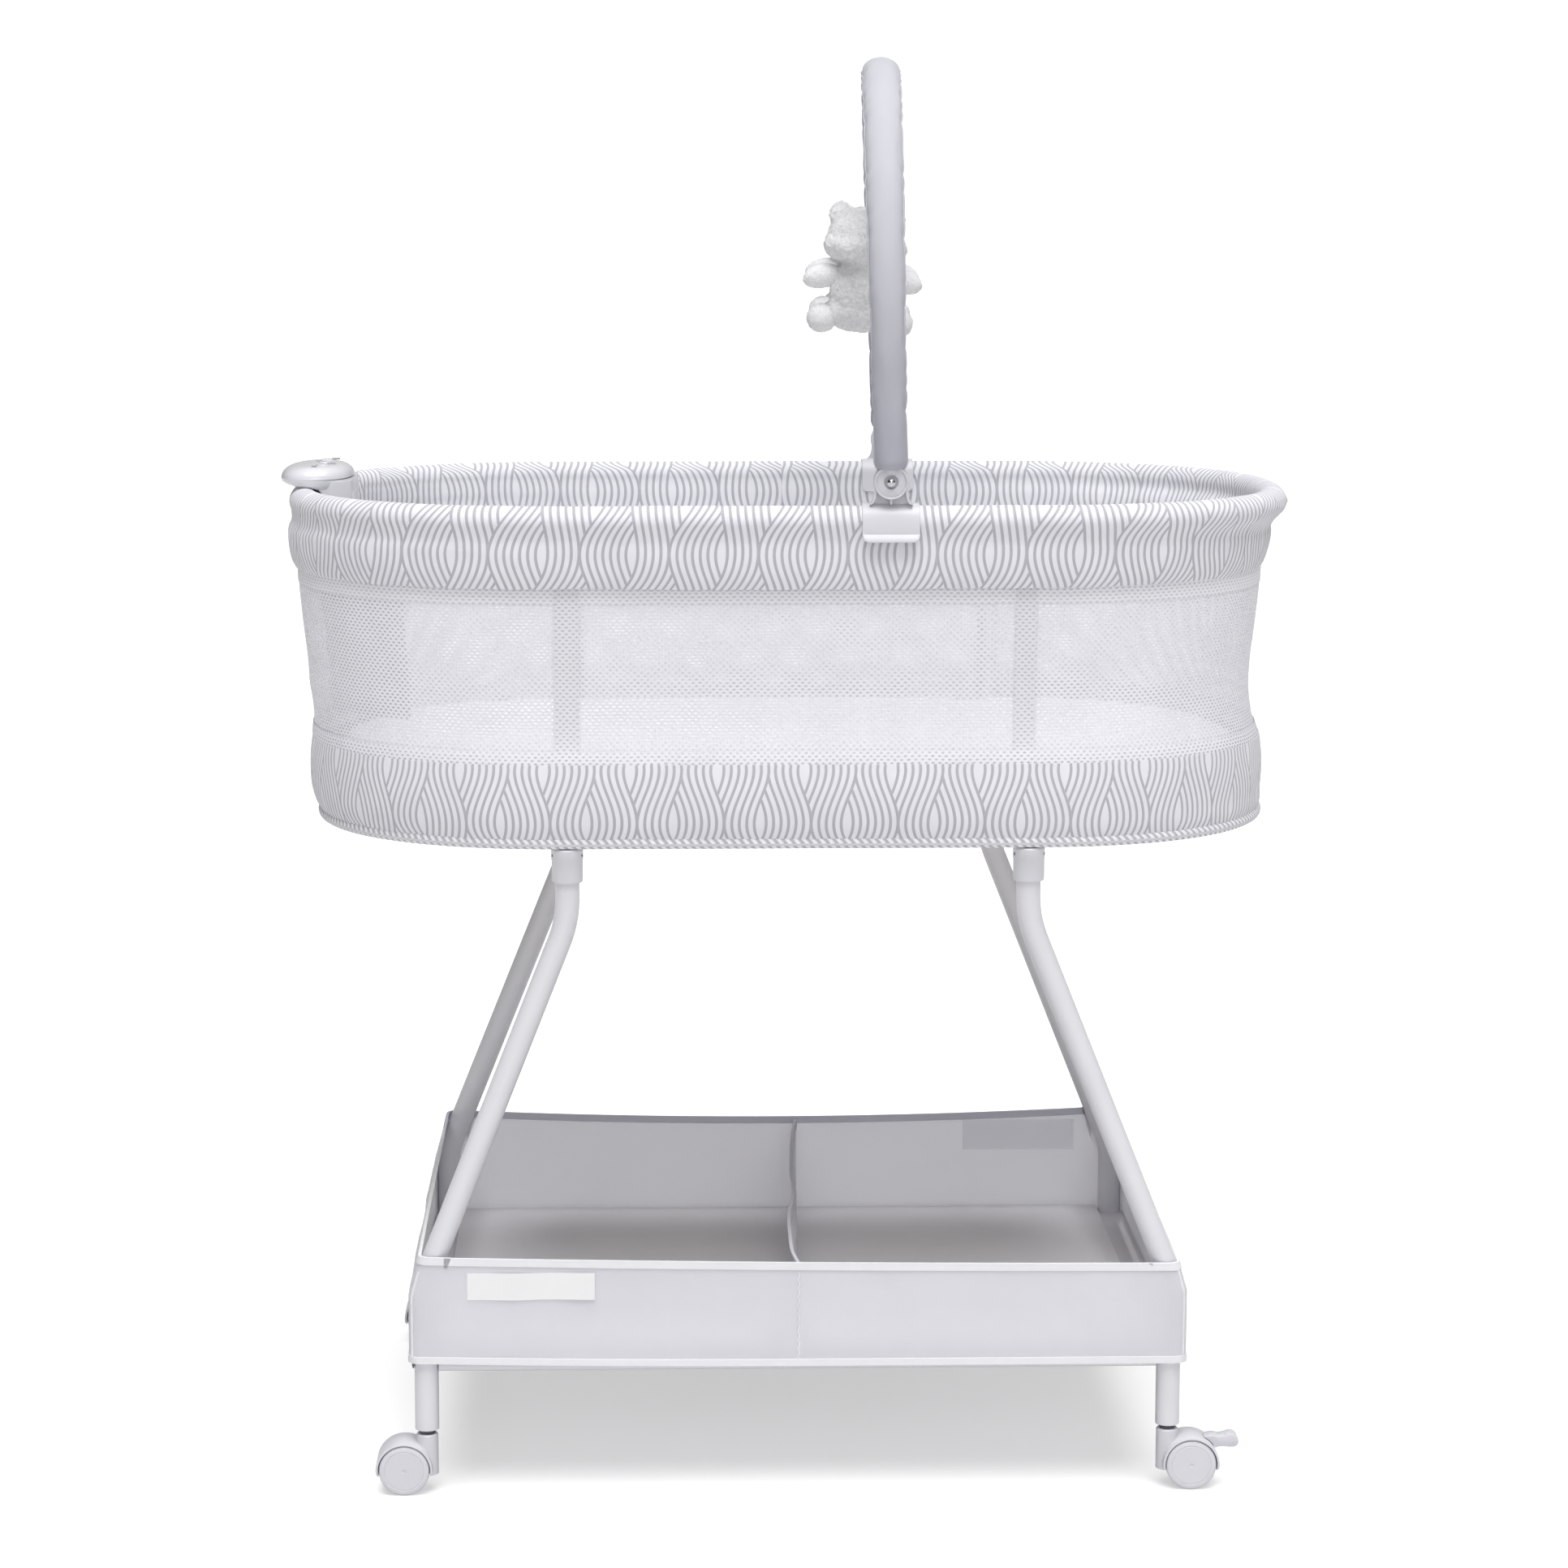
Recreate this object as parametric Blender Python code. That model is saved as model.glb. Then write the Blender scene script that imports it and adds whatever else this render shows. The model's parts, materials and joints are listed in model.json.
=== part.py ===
"""Bassinet on a rolling stand: oval mesh basket, toy arch, music pod, storage basket and four casters.

Metres, +Z up. The origin is on the floor under the middle of the object, +X runs along the basket
and -Y is the front.
"""

import math

import bmesh
import bpy
from mathutils import Vector

GAP = 0.0003
SIDES = {"left": -1, "right": 1}
FACES = {"front": -1, "rear": 1}

# Oval plan of the rim: straight sides, and ends that are quarter superellipses.
RIM_HALF_LENGTH = 0.406
RIM_HALF_WIDTH = 0.225
STRAIGHT_HALF = 0.18
END_POWER = 2.2
END_STEPS = 9
SIDE_STEPS = 3

# Heights of the basket's layers.
RIM_TOP = 0.780
BAND_BOTTOM = 0.716
MESH_WAIST = 0.610
LOWER_BAND_TOP = 0.578
BASE_BOTTOM = 0.512
CLOTH_THICKNESS = 0.0015
BOARD_BOTTOM = BASE_BOTTOM + CLOTH_THICKNESS + GAP
BOARD_THICKNESS = 0.009
PAD_TOP = 0.578
PAD_OFFSET = -0.0375
PAD_STRETCH = 1.03

# Rim roll: a steel tube inside a fabric cover.
ROLL_RADIUS = 0.012
ROLL_INNER_RADIUS = 0.010
RIM_TUBE_RADIUS = 0.0095
TUBE_WALL = 0.0012
POST_RADIUS = 0.0045

# Stand: bent 19 mm tubes.
LEG_RADIUS = 0.0095
LEG_TOP = (0.180, 0.1925, 0.506)
LEG_UPPER_BEND = (0.180, 0.1925, 0.4543)
LEG_LOWER_BEND = (0.293, 0.212, 0.1714)
LEG_BOTTOM = (0.293, 0.212, 0.051)
UPPER_BEND_RADIUS = 0.09
LOWER_BEND_RADIUS = 0.06
SOCKET_BOTTOM = 0.485
RAIL_RADIUS = 0.006
RAIL_HEIGHT = 0.1035
SCREW_RADIUS = 0.0023
SCREW_HOLE_RADIUS = 0.0026
SCREW_HEAD_RADIUS = 0.0040

# Storage basket.
BASKET_BOTTOM = 0.103
BASKET_TOP = 0.192
BASKET_WALL = 0.0012
BASKET_HALF_LENGTH = 0.3062
BASKET_HALF_LENGTH_TOP = 0.2995
BASKET_HALF_DEPTH = 0.2235
BASKET_LEAN_START = 0.165
FLOOR_HEIGHT = 0.1100
FLOOR_THICKNESS = 0.001
STIFFENER_THICKNESS = 0.003
BASKET_CORNER = 0.009
DIVIDER_SAG = 0.010
DIVIDER_HALF_THICKNESS = 0.001
LABEL_LEFT = -0.260
LABEL_RIGHT = -0.160
LABEL_BOTTOM = 0.158
LABEL_TOP = 0.180
LABEL_THICKNESS = 0.0007

# Twin-wheel casters.
WHEEL_RADIUS = 0.020
WHEEL_SEGMENTS = 20
CASTER_TRAIL = 0.018
CASTER_HALF_WIDTH = 0.0155
WEB_HALF = 0.0036
HOOD_INNER_RADIUS = 0.0207
HOOD_RADIUS = 0.0225
HOOD_BOTTOM = 0.0155
BARREL_RADIUS = 0.0087
BARREL_TOP = 0.047
STEM_RADIUS = 0.0040
STEM_BOTTOM = 0.0370
STEM_COLLAR_RADIUS = 0.0062
AXLE_RADIUS = 0.0027
LEVER_LENGTH = 0.040

# Toy arch. Its rear clip sits further right on the rim, and the arch leans a little to the left.
ARCH_X = 0.0804
ARCH_TURN = math.radians(-2.93)
ARCH_LEAN = math.radians(-1.5)
ARCH_HALF_WIDTH = 0.2228
ARCH_PIVOT_HEIGHT = 0.7987
ARCH_SPRING_HEIGHT = 0.887
BOW_RADIUS = 0.005
BOW_BOTTOM = 0.006
SLEEVE_HALF_WIDTH = 0.0145
SLEEVE_HALF_THICKNESS = 0.0135
SLEEVE_BOTTOM = 0.0153
KNUCKLE_RADIUS = 0.013
KNUCKLE_HALF_THICKNESS = 0.0045
CLIP_HALF_LENGTH = 0.0225
CLIP_INNER_RADIUS = 0.0124
CLIP_OUTER_RADIUS = 0.0150
CLIP_BOTTOM = 0.755
CLIP_INNER_CLEARANCE = 0.0022
EAR_RADIUS = 0.01375
EAR_INNER_FACE = 0.2120
GUSSET_HALF = 0.0135
GUSSET_FOOT = 0.001

# Plush bears on ribbons.
BEAR_Y = 0.075
BEAR_INSET = 0.011
BEAR_BOTTOM = 0.900
RIBBON_TOP = 1.0795
RIBBON_HALF_WIDTH = 0.004
RIBBON_HALF_THICKNESS = 0.0006

# Music pod over the left end of the rim.
POD_X = -0.3776
POD_HALF_LENGTH = 0.0278
POD_HALF_WIDTH = 0.053
POD_BOTTOM = 0.7806
POD_SPLIT = 0.7925
POD_TOP = 0.802
POD_POWER = 2.6
POD_POINTS = 28
POD_BOX_LEFT = -0.3705
POD_BOX_BOTTOM = 0.745
POD_BOX_HALF_WIDTH = 0.040
POD_WALL = 0.0022
DOOR_HALF_WIDTH = 0.030
DOOR_BOTTOM = 0.750
DOOR_TOP = 0.775
DOOR_THICKNESS = 0.0015
BUTTON_STAND_OUT = 0.0008
BUTTON_BEVEL = 0.0006
BUTTON_RADIUS = 0.005
BUTTON_PITCH = 0.026
BUTTON_TRAVEL = 0.001

# Colour, roughness and metallic value of each material.
FINISHES = {
    "white_steel": ((0.82, 0.82, 0.84), 0.35, 0.0),
    "white_plastic": ((0.84, 0.84, 0.86), 0.40, 0.0),
    "clear_plastic": ((0.88, 0.88, 0.89), 0.30, 0.0),
    "dark_steel": ((0.12, 0.12, 0.13), 0.35, 1.0),
    "bright_steel": ((0.62, 0.62, 0.64), 0.25, 1.0),
    "grey_plastic": ((0.45, 0.45, 0.48), 0.45, 0.0),
    "printed_fabric": ((0.78, 0.78, 0.81), 0.90, 0.0),
    "mesh_fabric": ((0.88, 0.88, 0.89), 0.90, 0.0),
    "pad_fabric": ((0.90, 0.90, 0.90), 0.95, 0.0),
    "sheer_fabric": ((0.80, 0.80, 0.84), 0.80, 0.0),
    "sleeve_fabric": ((0.60, 0.60, 0.65), 0.85, 0.0),
    "plush": ((0.88, 0.88, 0.88), 1.00, 0.0),
    "board": ((0.70, 0.64, 0.55), 0.85, 0.0),
}


def clear_scene():
    for old in list(bpy.data.objects):
        bpy.data.objects.remove(old, do_unlink=True)


def material(finish, name):
    colour, roughness, metallic = FINISHES[finish]
    made = bpy.data.materials.new(name)
    made.use_nodes = True
    shader = made.node_tree.nodes["Principled BSDF"]
    shader.inputs["Base Color"].default_value = (*colour, 1.0)
    shader.inputs["Roughness"].default_value = roughness
    shader.inputs["Metallic"].default_value = metallic
    return made


def mesh_from(name, form):
    """Finish a bmesh as a mesh, with its faces outwards and round parts shaded smooth."""
    bmesh.ops.recalc_face_normals(form, faces=form.faces)
    mesh = bpy.data.meshes.new(name)
    form.to_mesh(mesh)
    form.free()
    mesh.shade_smooth()
    mesh.set_sharp_from_angle(angle=math.radians(40))
    return mesh


def add(name, mesh, finish=None, location=(0, 0, 0), turn=0.0, lean=0.0):
    """Place a mesh as a named piece of the object, leant about Y and then turned about Z."""
    piece = bpy.data.objects.new(name, mesh)
    piece.location = location
    piece.rotation_euler = (0, lean, turn)
    bpy.context.scene.collection.objects.link(piece)
    if finish:
        piece.data.materials.clear()
        piece.data.materials.append(material(finish, name))
    return piece


def add_copy(name, mesh, finish, location=(0, 0, 0), turn=0.0):
    return add(name, mesh.copy(), finish, location, turn)


def loft(name, loops, closed=False):
    """Skin through loops of equally many points: capped at both ends, or closed on itself."""
    form = bmesh.new()
    rings = [[form.verts.new(point) for point in loop] for loop in loops]
    count = len(rings[0])
    pairs = list(zip(rings, rings[1:]))
    if closed:
        pairs.append((rings[-1], rings[0]))
    for low, high in pairs:
        for i in range(count):
            j = (i + 1) % count
            form.faces.new((low[i], low[j], high[j], high[i]))
    if not closed:
        form.faces.new(rings[0])
        form.faces.new(rings[-1])
    return mesh_from(name, form)


def turned(name, profile, segments):
    """Turn a profile of (radius, height) points about the vertical axis."""
    form = bmesh.new()
    points = [form.verts.new((radius, 0, height)) for radius, height in profile]
    edges = [form.edges.new(pair) for pair in zip(points, points[1:])]
    bmesh.ops.spin(
        form, geom=points + edges, axis=(0, 0, 1), cent=(0, 0, 0), angle=math.tau, steps=segments
    )
    bmesh.ops.remove_doubles(form, verts=form.verts, dist=1e-6)
    return mesh_from(name, form)


def laid_along(mesh, axis):
    """Turn a mesh made about Z so that it lies along X or Y."""
    for vertex in mesh.vertices:
        x, y, z = vertex.co
        vertex.co = (z, x, y) if axis == "X" else (y, z, x)
    return mesh


def ball(name, centre, radii):
    form = bmesh.new()
    bmesh.ops.create_uvsphere(form, u_segments=8, v_segments=6, radius=1.0)
    for vertex in form.verts:
        vertex.co = [centre[k] + radii[k] * vertex.co[k] for k in range(3)]
    return mesh_from(name, form)


def box(name, low, high):
    form = bmesh.new()
    bmesh.ops.create_cube(form, size=1.0)
    for vertex in form.verts:
        vertex.co = [low[k] + (high[k] - low[k]) * (vertex.co[k] + 0.5) for k in range(3)]
    return mesh_from(name, form)


def rod(name, radius, low, high, segments, axis="Z", centre=(0, 0, 0)):
    """A plain cylinder between two positions along an axis, moved by centre."""
    mesh = turned(name, [(0, low), (radius, low), (radius, high), (0, high)], segments)
    if axis != "Z":
        laid_along(mesh, axis)
    for vertex in mesh.vertices:
        vertex.co += Vector(centre)
    return mesh


def combine(piece, mesh, operation):
    """Join a mesh to a piece, or cut it away, with a guide that isn't itself part of the object."""
    guide = bpy.data.objects.new(piece.name + "_guide", mesh)
    guide.matrix_world = piece.matrix_basis
    guide.hide_render = True
    guide.display_type = "WIRE"
    bpy.context.scene.collection.objects.link(guide)
    step = piece.modifiers.new(operation.title(), "BOOLEAN")
    step.operation = operation
    step.solver = "EXACT"
    step.object = guide


def result_of(piece):
    """The piece's mesh with its modifiers applied, for pieces that share one shape."""
    bpy.context.view_layer.update()
    made = bpy.data.meshes.new_from_object(piece.evaluated_get(bpy.context.evaluated_depsgraph_get()))
    for step in piece.modifiers:
        bpy.data.objects.remove(step.object, do_unlink=True)
    bpy.data.objects.remove(piece, do_unlink=True)
    return made


def rounded_path(corners, radii, steps):
    """A path through corners, each inner one rounded by an arc."""
    points = [Vector(corners[0])]
    for before, corner, after, radius in zip(corners, corners[1:], corners[2:], radii):
        corner = Vector(corner)
        into = (corner - Vector(before)).normalized()
        out = (Vector(after) - corner).normalized()
        bend = into.angle(out)
        reach = radius * math.tan(bend / 2)
        start = corner - into * reach
        inward = (out - into * out.dot(into)).normalized()
        for i in range(steps + 1):
            turn = bend * i / steps
            along = into * radius * math.sin(turn)
            points.append(start + along + inward * radius * (1 - math.cos(turn)))
    points.append(Vector(corners[-1]))
    return points


def ring(points, index, side, radii, sides):
    """A ring of points round a path; side is a direction that is never along the path."""
    before = points[max(index - 1, 0)]
    after = points[min(index + 1, len(points) - 1)]
    tangent = (after - before).normalized()
    across = (side - tangent * side.dot(tangent)).normalized()
    normal = tangent.cross(across)
    return [
        points[index]
        + across * radii[0] * math.cos(math.tau * k / sides)
        + normal * radii[1] * math.sin(math.tau * k / sides)
        for k in range(sides)
    ]


def pipe(name, points, side, radii, inner, sides):
    """A tube along a path, open at both ends; with no inner radius it is a solid bar."""
    outer = [ring(points, i, side, radii, sides) for i in range(len(points))]
    if inner is None:
        return loft(name, outer)
    bore = [ring(points, i, side, (inner, inner), sides) for i in range(len(points))]
    return loft(name, outer + bore[::-1], closed=True)


def outline(offset):
    """The rim's oval plan, moved outwards by an offset: (x, y) points, anticlockwise."""
    reach = RIM_HALF_LENGTH - STRAIGHT_HALF
    quarter = []
    for i in range(END_STEPS + 1):
        turn = math.pi / 2 * i / END_STEPS
        u = math.cos(turn) ** (2 / END_POWER)
        v = math.sin(turn) ** (2 / END_POWER)
        slope = Vector((u ** (END_POWER - 1) / reach, v ** (END_POWER - 1) / RIM_HALF_WIDTH))
        slope.normalize()
        quarter.append(Vector((STRAIGHT_HALF + reach * u, RIM_HALF_WIDTH * v)) + offset * slope)
    side = []
    for i in range(1, SIDE_STEPS + 1):
        side.append(Vector((STRAIGHT_HALF * (1 - i / SIDE_STEPS), quarter[-1].y)))
    right = quarter + side
    left = [Vector((-p.x, p.y)) for p in right[-2::-1]]
    upper = right + left
    lower = [Vector((p.x, -p.y)) for p in upper[-2:0:-1]]
    return upper + lower


def band(name, section):
    """A closed section of (offset, height) points carried round the oval."""
    return loft(name, [[(*p, height) for p in outline(offset)] for offset, height in section], closed=True)


def arc(centre, radius, first, last, steps):
    """Points on an arc, angles in degrees, in the plane that the caller uses."""
    angles = [math.radians(first + (last - first) * i / steps) for i in range(steps + 1)]
    return [(centre[0] + radius * math.cos(a), centre[1] + radius * math.sin(a)) for a in angles]


def rounded_rectangle(half_x, half_y, radius, height):
    points = []
    for quarter, (sx, sy) in enumerate(((1, 1), (-1, 1), (-1, -1), (1, -1))):
        centre = (sx * (half_x - radius), sy * (half_y - radius))
        points += [(x, y, height) for x, y in arc(centre, radius, 90 * quarter, 90 * quarter + 90, 3)]
    return points


def oval(centre, half_x, half_y, power, height, count):
    points = []
    for i in range(count):
        turn = math.tau * i / count
        u = math.copysign(abs(math.cos(turn)) ** (2 / power), math.cos(turn))
        v = math.copysign(abs(math.sin(turn)) ** (2 / power), math.sin(turn))
        points.append((centre[0] + half_x * u, centre[1] + half_y * v, height))
    return points


def make_rim():
    """Two U-shaped tubes that meet in the middle of the sides, and the printed cover over them."""
    height = RIM_TOP - ROLL_RADIUS
    centre_line = [Vector((*p, height)) for p in outline(-ROLL_RADIUS)]
    count = len(centre_line)
    quarter = END_STEPS + SIDE_STEPS
    right_half = [centre_line[i % count] for i in range(-quarter, quarter + 1)]
    for side, sign in SIDES.items():
        path = [Vector((sign * p.x, p.y, p.z)) for p in right_half]
        path[0].x = path[-1].x = sign * GAP
        mesh = pipe(f"rim_tube_{side}", path, Vector((0, 0, 1)), (RIM_TUBE_RADIUS,) * 2,
                    RIM_TUBE_RADIUS - TUBE_WALL, 8)
        add(f"rim_tube_{side}", mesh, "white_steel")
    roll = (-ROLL_RADIUS, height)
    outside = [(-0.0095, BAND_BOTTOM), (-0.0065, 0.740)]
    inside = [(-0.0275, 0.740), (-0.030, BAND_BOTTOM)]
    lining = [(-0.028, BAND_BOTTOM), (-0.0255, 0.740)]
    facing = [(-0.0085, 0.740), (-0.0115, BAND_BOTTOM)]
    section = outside + arc(roll, ROLL_RADIUS, -50, 180, 5) + inside
    section += lining + arc(roll, ROLL_INNER_RADIUS, 180, -50, 5) + facing
    add("rim_cover", band("rim_cover", section), "printed_fabric")


def make_walls():
    """Mesh wall between the two printed bands, and the lower band with its lip under the board."""
    outside = [(-0.0175, LOWER_BAND_TOP + GAP), (-0.023, MESH_WAIST), (-0.0175, 0.670),
               (-0.0145, BAND_BOTTOM - GAP)]
    inside = [(offset - CLOTH_THICKNESS, height) for offset, height in reversed(outside)]
    add("mesh_wall", band("mesh_wall", outside + inside), "mesh_fabric")
    outside = [(-0.034, BASE_BOTTOM), (-0.0215, BASE_BOTTOM), (-0.0215, 0.5205), (-0.0165, 0.545),
               (-0.0170, LOWER_BAND_TOP)]
    inside = [(-0.0190, LOWER_BAND_TOP), (-0.0185, 0.545), (-0.0235, 0.5215),
              (-0.0235, BASE_BOTTOM + CLOTH_THICKNESS), (-0.034, BASE_BOTTOM + CLOTH_THICKNESS)]
    add("lower_band", band("lower_band", outside + inside), "printed_fabric")


def make_base():
    """Stiff floor board, and the mattress pad on it with its long edges rounded."""
    low = BOARD_BOTTOM
    high = low + BOARD_THICKNESS
    board = [[(*p, height) for p in outline(-0.024)] for height in (low, high)]
    add("base_board", loft("base_board", board), "board")
    edge = 0.010
    low = high + GAP
    levels = ((-edge, low), (0, low + edge), (0, PAD_TOP - edge), (-edge, PAD_TOP))
    pad = [
        [(p.x * PAD_STRETCH, p.y, height) for p in outline(PAD_OFFSET + inset)]
        for inset, height in levels
    ]
    add("mattress_pad", loft("mattress_pad", pad), "pad_fabric")


def make_posts():
    """Four bars that carry the rim, standing on the board and leaning out at the top."""
    foot = BOARD_BOTTOM + BOARD_THICKNESS + GAP
    head = RIM_TOP - ROLL_RADIUS - RIM_TUBE_RADIUS - 2 * GAP
    corners = ((0.193, foot), (0.193, 0.620), (0.203, BAND_BOTTOM), (0.2115, head))
    for face, sy in FACES.items():
        for side, sx in SIDES.items():
            path = [Vector((sx * (LEG_TOP[0] - 0.001), sy * y, z)) for y, z in corners]
            mesh = pipe(f"post_{face}_{side}", path, Vector((1, 0, 0)), (POST_RADIUS,) * 2, None, 8)
            add(f"post_{face}_{side}", mesh, "white_steel")


def make_stand():
    """Bent legs in sockets, two end rails welded between them and two long rails held by screws."""
    socket = turned(
        "leg_socket",
        [(0, BASE_BOTTOM - GAP), (0.0125, BASE_BOTTOM - GAP), (0.0120, SOCKET_BOTTOM),
         (LEG_RADIUS + GAP, SOCKET_BOTTOM), (LEG_RADIUS + GAP, LEG_TOP[2] + GAP), (0, LEG_TOP[2] + GAP)],
        12,
    )
    end = LEG_BOTTOM[0] + LEG_RADIUS + GAP
    screw = turned(
        "rail_screw",
        [(0, end + 0.0018), (0.0030, end + 0.0016), (SCREW_HEAD_RADIUS, end + 0.0006),
         (SCREW_HEAD_RADIUS, end), (SCREW_RADIUS, end), (SCREW_RADIUS, end - 0.040), (0, end - 0.040)],
        10,
    )
    laid_along(screw, "X")
    for face, sy in FACES.items():
        for side, sx in SIDES.items():
            where = f"{face}_{side}"
            corners = [
                (sx * x, sy * y, z)
                for x, y, z in (LEG_TOP, LEG_UPPER_BEND, LEG_LOWER_BEND, LEG_BOTTOM)
            ]
            path = rounded_path(corners, (UPPER_BEND_RADIUS, LOWER_BEND_RADIUS), 3)
            mesh = pipe(f"leg_{where}", path, Vector((0, 1, 0)), (LEG_RADIUS,) * 2,
                        LEG_RADIUS - TUBE_WALL, 12)
            leg = add(f"leg_{where}", mesh, "white_steel")
            hole = rod("screw_hole", SCREW_HOLE_RADIUS, -0.02, 0.02, 8, "X",
                       (sx * LEG_BOTTOM[0], sy * LEG_BOTTOM[1], RAIL_HEIGHT))
            combine(leg, hole, "DIFFERENCE")
            place = (sx * LEG_TOP[0], sy * LEG_TOP[1], 0)
            add_copy(f"leg_socket_{where}", socket, "white_plastic", place)
            turn = 0 if sx > 0 else math.pi
            add_copy(f"rail_screw_{where}", screw, "dark_steel",
                     (0, sy * LEG_BOTTOM[1], RAIL_HEIGHT), turn)
    reach = LEG_BOTTOM[0] - LEG_RADIUS - GAP
    for face, sy in FACES.items():
        path = [Vector((x, sy * LEG_BOTTOM[1], RAIL_HEIGHT)) for x in (-reach, reach)]
        mesh = pipe(f"long_rail_{face}", path, Vector((0, 0, 1)), (RAIL_RADIUS,) * 2,
                    RAIL_RADIUS - TUBE_WALL, 10)
        add(f"long_rail_{face}", mesh, "white_steel")
    reach = LEG_BOTTOM[1] - LEG_RADIUS - GAP
    for side, sx in SIDES.items():
        path = [Vector((sx * LEG_BOTTOM[0], y, RAIL_HEIGHT)) for y in (-reach, reach)]
        mesh = pipe(f"end_rail_{side}", path, Vector((0, 0, 1)), (RAIL_RADIUS,) * 2,
                    RAIL_RADIUS - TUBE_WALL, 10)
        add(f"end_rail_{side}", mesh, "white_steel")


def make_storage():
    """Fabric basket round the feet of the legs, its floor board, its divider and a blank label."""
    levels = (
        (BASKET_HALF_LENGTH, BASKET_HALF_DEPTH, BASKET_BOTTOM),
        (BASKET_HALF_LENGTH, BASKET_HALF_DEPTH, BASKET_LEAN_START),
        (BASKET_HALF_LENGTH_TOP, BASKET_HALF_DEPTH - 0.0005, BASKET_TOP),
    )
    outside = [rounded_rectangle(x, y, BASKET_CORNER, z) for x, y, z in levels]
    inside = [
        rounded_rectangle(x - BASKET_WALL, y - BASKET_WALL, BASKET_CORNER - BASKET_WALL, z)
        for x, y, z in reversed(levels)
    ]
    walls = add("storage_basket", loft("storage_basket", outside + inside, closed=True), "sheer_fabric")
    notch_x = LEG_BOTTOM[0] - LEG_RADIUS - 0.003
    notch_y = LEG_BOTTOM[1] - LEG_RADIUS - 0.003
    far_x = BASKET_HALF_LENGTH - BASKET_WALL / 2
    far_y = BASKET_HALF_DEPTH - BASKET_WALL / 2
    quarter = [(far_x, notch_y), (notch_x, notch_y), (notch_x, far_y)]
    left = [(-x, y) for x, y in reversed(quarter)]
    rear = quarter + left
    plan = rear + [(-x, -y) for x, y in rear]
    floor = [[(x, y, z) for x, y in plan] for z in (FLOOR_HEIGHT, FLOOR_HEIGHT + FLOOR_THICKNESS)]
    combine(walls, loft("storage_floor", floor), "UNION")

    low = FLOOR_HEIGHT + FLOOR_THICKNESS + GAP
    high = low + STIFFENER_THICKNESS
    half_x = LEG_BOTTOM[0] - LEG_RADIUS - 0.001
    half_y = BASKET_HALF_DEPTH - BASKET_WALL - 0.002
    board = box("storage_board", (-half_x, -half_y, low), (half_x, half_y, high))
    add("storage_board", board, "board")

    steps = 8
    half = DIVIDER_HALF_THICKNESS
    foot = high + GAP
    loops = []
    for i in range(steps + 1):
        y = half_y * (2 * i / steps - 1)
        top = BASKET_TOP - 0.004 - DIVIDER_SAG * (1 - (y / half_y) ** 2)
        loops.append([(-half, y, foot), (half, y, foot), (half, y, top), (-half, y, top)])
    add("storage_divider", loft("storage_divider", loops), "sheer_fabric")

    front = -BASKET_HALF_DEPTH - GAP
    label = box("storage_label", (LABEL_LEFT, front - LABEL_THICKNESS, LABEL_BOTTOM),
                (LABEL_RIGHT, front, LABEL_TOP))
    add("storage_label", label, "pad_fabric")


def caster_housing():
    """Hood, web and stem barrel of a twin-wheel caster; the swivel axis is the local Z axis."""
    wheel = (CASTER_TRAIL, WHEEL_RADIUS)
    hood = arc(wheel, HOOD_RADIUS, 0, 180, 14)
    hood += [(CASTER_TRAIL - HOOD_RADIUS, HOOD_BOTTOM), (CASTER_TRAIL + HOOD_RADIUS, HOOD_BOTTOM)]
    loops = [[(x, y, z) for x, z in hood] for y in (-CASTER_HALF_WIDTH, CASTER_HALF_WIDTH)]
    piece = add("housing", loft("housing", loops))
    combine(piece, rod("barrel", BARREL_RADIUS, 0.014, BARREL_TOP, 14), "UNION")
    middle = (CASTER_TRAIL, 0, WHEEL_RADIUS)
    combine(piece, rod("web", 0.0110, -0.0030, 0.0030, 16, "Y", middle), "UNION")
    for sign in (-1, 1):
        low, high = sorted((sign * WEB_HALF, sign * 0.020))
        combine(piece, rod("well", HOOD_INNER_RADIUS, low, high, 24, "Y", middle), "DIFFERENCE")
    combine(piece, rod("axle_hole", AXLE_RADIUS + GAP, -0.01, 0.01, 10, "Y", middle), "DIFFERENCE")
    hole = rod("stem_hole", STEM_RADIUS + GAP, STEM_BOTTOM - GAP, 0.060, 10)
    combine(piece, hole, "DIFFERENCE")
    return result_of(piece)


def caster_wheels():
    """Two wheels on one axle, turned about Y, with a flat facet at the lowest point."""
    rim = WHEEL_RADIUS / math.cos(math.pi / WHEEL_SEGMENTS)
    half = [(rim - 0.0012, CASTER_HALF_WIDTH), (rim, CASTER_HALF_WIDTH - 0.0012),
            (rim, WEB_HALF + 0.0004), (AXLE_RADIUS, WEB_HALF + 0.0004)]
    profile = [(0, CASTER_HALF_WIDTH)] + half
    profile += [(radius, -height) for radius, height in reversed(profile)]
    mesh = laid_along(turned("wheels", profile, WHEEL_SEGMENTS), "Y")
    half_facet = math.pi / WHEEL_SEGMENTS
    for vertex in mesh.vertices:
        x, y, z = vertex.co
        vertex.co = (
            x * math.cos(half_facet) - z * math.sin(half_facet),
            y,
            x * math.sin(half_facet) + z * math.cos(half_facet),
        )
    return mesh


def caster_lever():
    """Brake lever: a paddle that slides round the hood about the wheel's axis."""
    reach = LEVER_LENGTH - 0.005
    side = arc((0, 0), HOOD_RADIUS + 2 * GAP, 66, 24, 5)
    side += [(reach, 0.0120)] + arc((reach, 0.0170), 0.005, -60, 90, 4)
    loops = [[(x, y, z) for x, z in side] for y in (-0.008, 0.008)]
    return loft("brake_lever", loops)


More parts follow.
